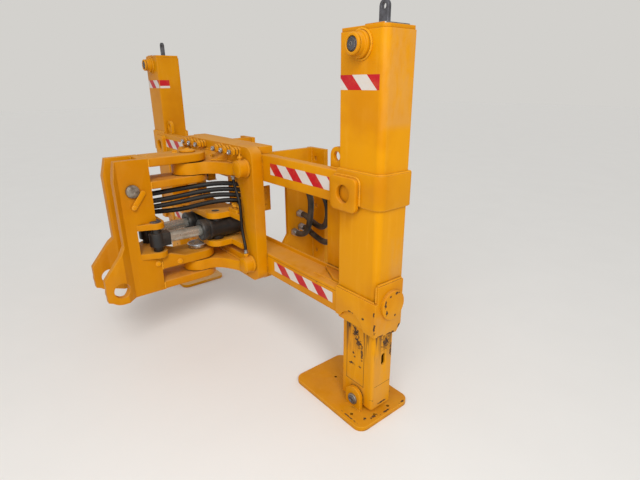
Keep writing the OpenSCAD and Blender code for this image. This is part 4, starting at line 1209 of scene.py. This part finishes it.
floor_mesh = bpy.data.meshes.new("floor")
bm = bmesh.new()
bmesh.ops.create_grid(bm, x_segments=1, y_segments=1, size=FLOOR_SIZE / 2)
bmesh.ops.translate(bm, verts=bm.verts, vec=(0, 0, GROUND))
bm.to_mesh(floor_mesh)
bm.free()
floor_finish = Finish("floor")
floor_colour = floor_finish.mix(floor_finish.noise(3), colour(236, 234, 230),
                                colour(240, 238, 234))
floor = show("floor", floor_mesh, floor_finish.skin(floor_colour, 0.9))
print("floor is", FLOOR_SIZE, "m wide")

# %% [markdown]
# The world lights the piece evenly from all sides. Seen directly it would be darker than the
# floor and draw a horizon, so the camera, mirrors and glass are shown a backdrop in the far
# floor's colour instead. A mix between two backgrounds, steered by the kind of ray, does it.

# %% World
WORLD_STRENGTH = 0.55
BACKDROP = colour(211, 209, 205)

world = bpy.data.worlds.new("studio")
bpy.context.scene.world = world
world.use_nodes = True
sky = world.node_tree
background = sky.nodes["Background"]
background.inputs["Color"].default_value = (1, 1, 1, 1)
background.inputs["Strength"].default_value = WORLD_STRENGTH
backdrop = sky.nodes.new("ShaderNodeBackground")
backdrop.inputs["Color"].default_value = BACKDROP
rays = sky.nodes.new("ShaderNodeLightPath")
blend = sky.nodes.new("ShaderNodeMixShader")


def either(first, second):
    """1 where one of the two kinds of ray is seen."""
    node = sky.nodes.new("ShaderNodeMath")
    node.operation = "ADD"
    node.use_clamp = True
    sky.links.new(first, node.inputs[0])
    sky.links.new(second, node.inputs[1])
    return node.outputs[0]


shiny = either(rays.outputs["Is Glossy Ray"], rays.outputs["Is Transmission Ray"])
sky.links.new(either(rays.outputs["Is Camera Ray"], shiny), blend.inputs[0])
sky.links.new(background.outputs[0], blend.inputs[1])
sky.links.new(backdrop.outputs[0], blend.inputs[2])
sky.links.new(blend.outputs[0], sky.nodes["World Output"].inputs[0])
print("world strength", WORLD_STRENGTH)

# %% [markdown]
# Soft daylight comes from the machine's right. A sun alone would light both legs alike, so a
# large panel lamp stands behind the right leg and fades towards the far side, as the light in
# the photo does. Both aim their Z axis back at the light, because lamps shine along minus Z.

# %% Lamps
DAYLIGHT_FROM = Vector((1.0, -0.42, 0.95))
DAYLIGHT_STRENGTH = 0.95
DAYLIGHT_SPREAD = radians(18)
PANEL_PLACE = place(2400, -1700, 2500)
PANEL_AIM = place(700, 0, 900)
PANEL_SIZE = 1.8
PANEL_WATTS = 38


def aimed(away):
    return away.to_track_quat("Z", "Y").to_matrix().to_4x4()


daylight = bpy.data.lights.new("daylight", "SUN")
daylight.energy = DAYLIGHT_STRENGTH
daylight.angle = DAYLIGHT_SPREAD
sun = bpy.data.objects.new("daylight", daylight)
sun.matrix_world = aimed(DAYLIGHT_FROM)
panel = bpy.data.lights.new("soft_panel", "AREA")
panel.size = PANEL_SIZE
panel.energy = PANEL_WATTS
stand = bpy.data.objects.new("soft_panel", panel)
stand.matrix_world = Matrix.Translation(PANEL_PLACE) @ aimed(PANEL_PLACE - PANEL_AIM)
for lamp in (sun, stand):
    bpy.context.collection.objects.link(lamp)
bpy.context.scene.view_settings.view_transform = "Standard"
print("lamps:", sun.name, stand.name)
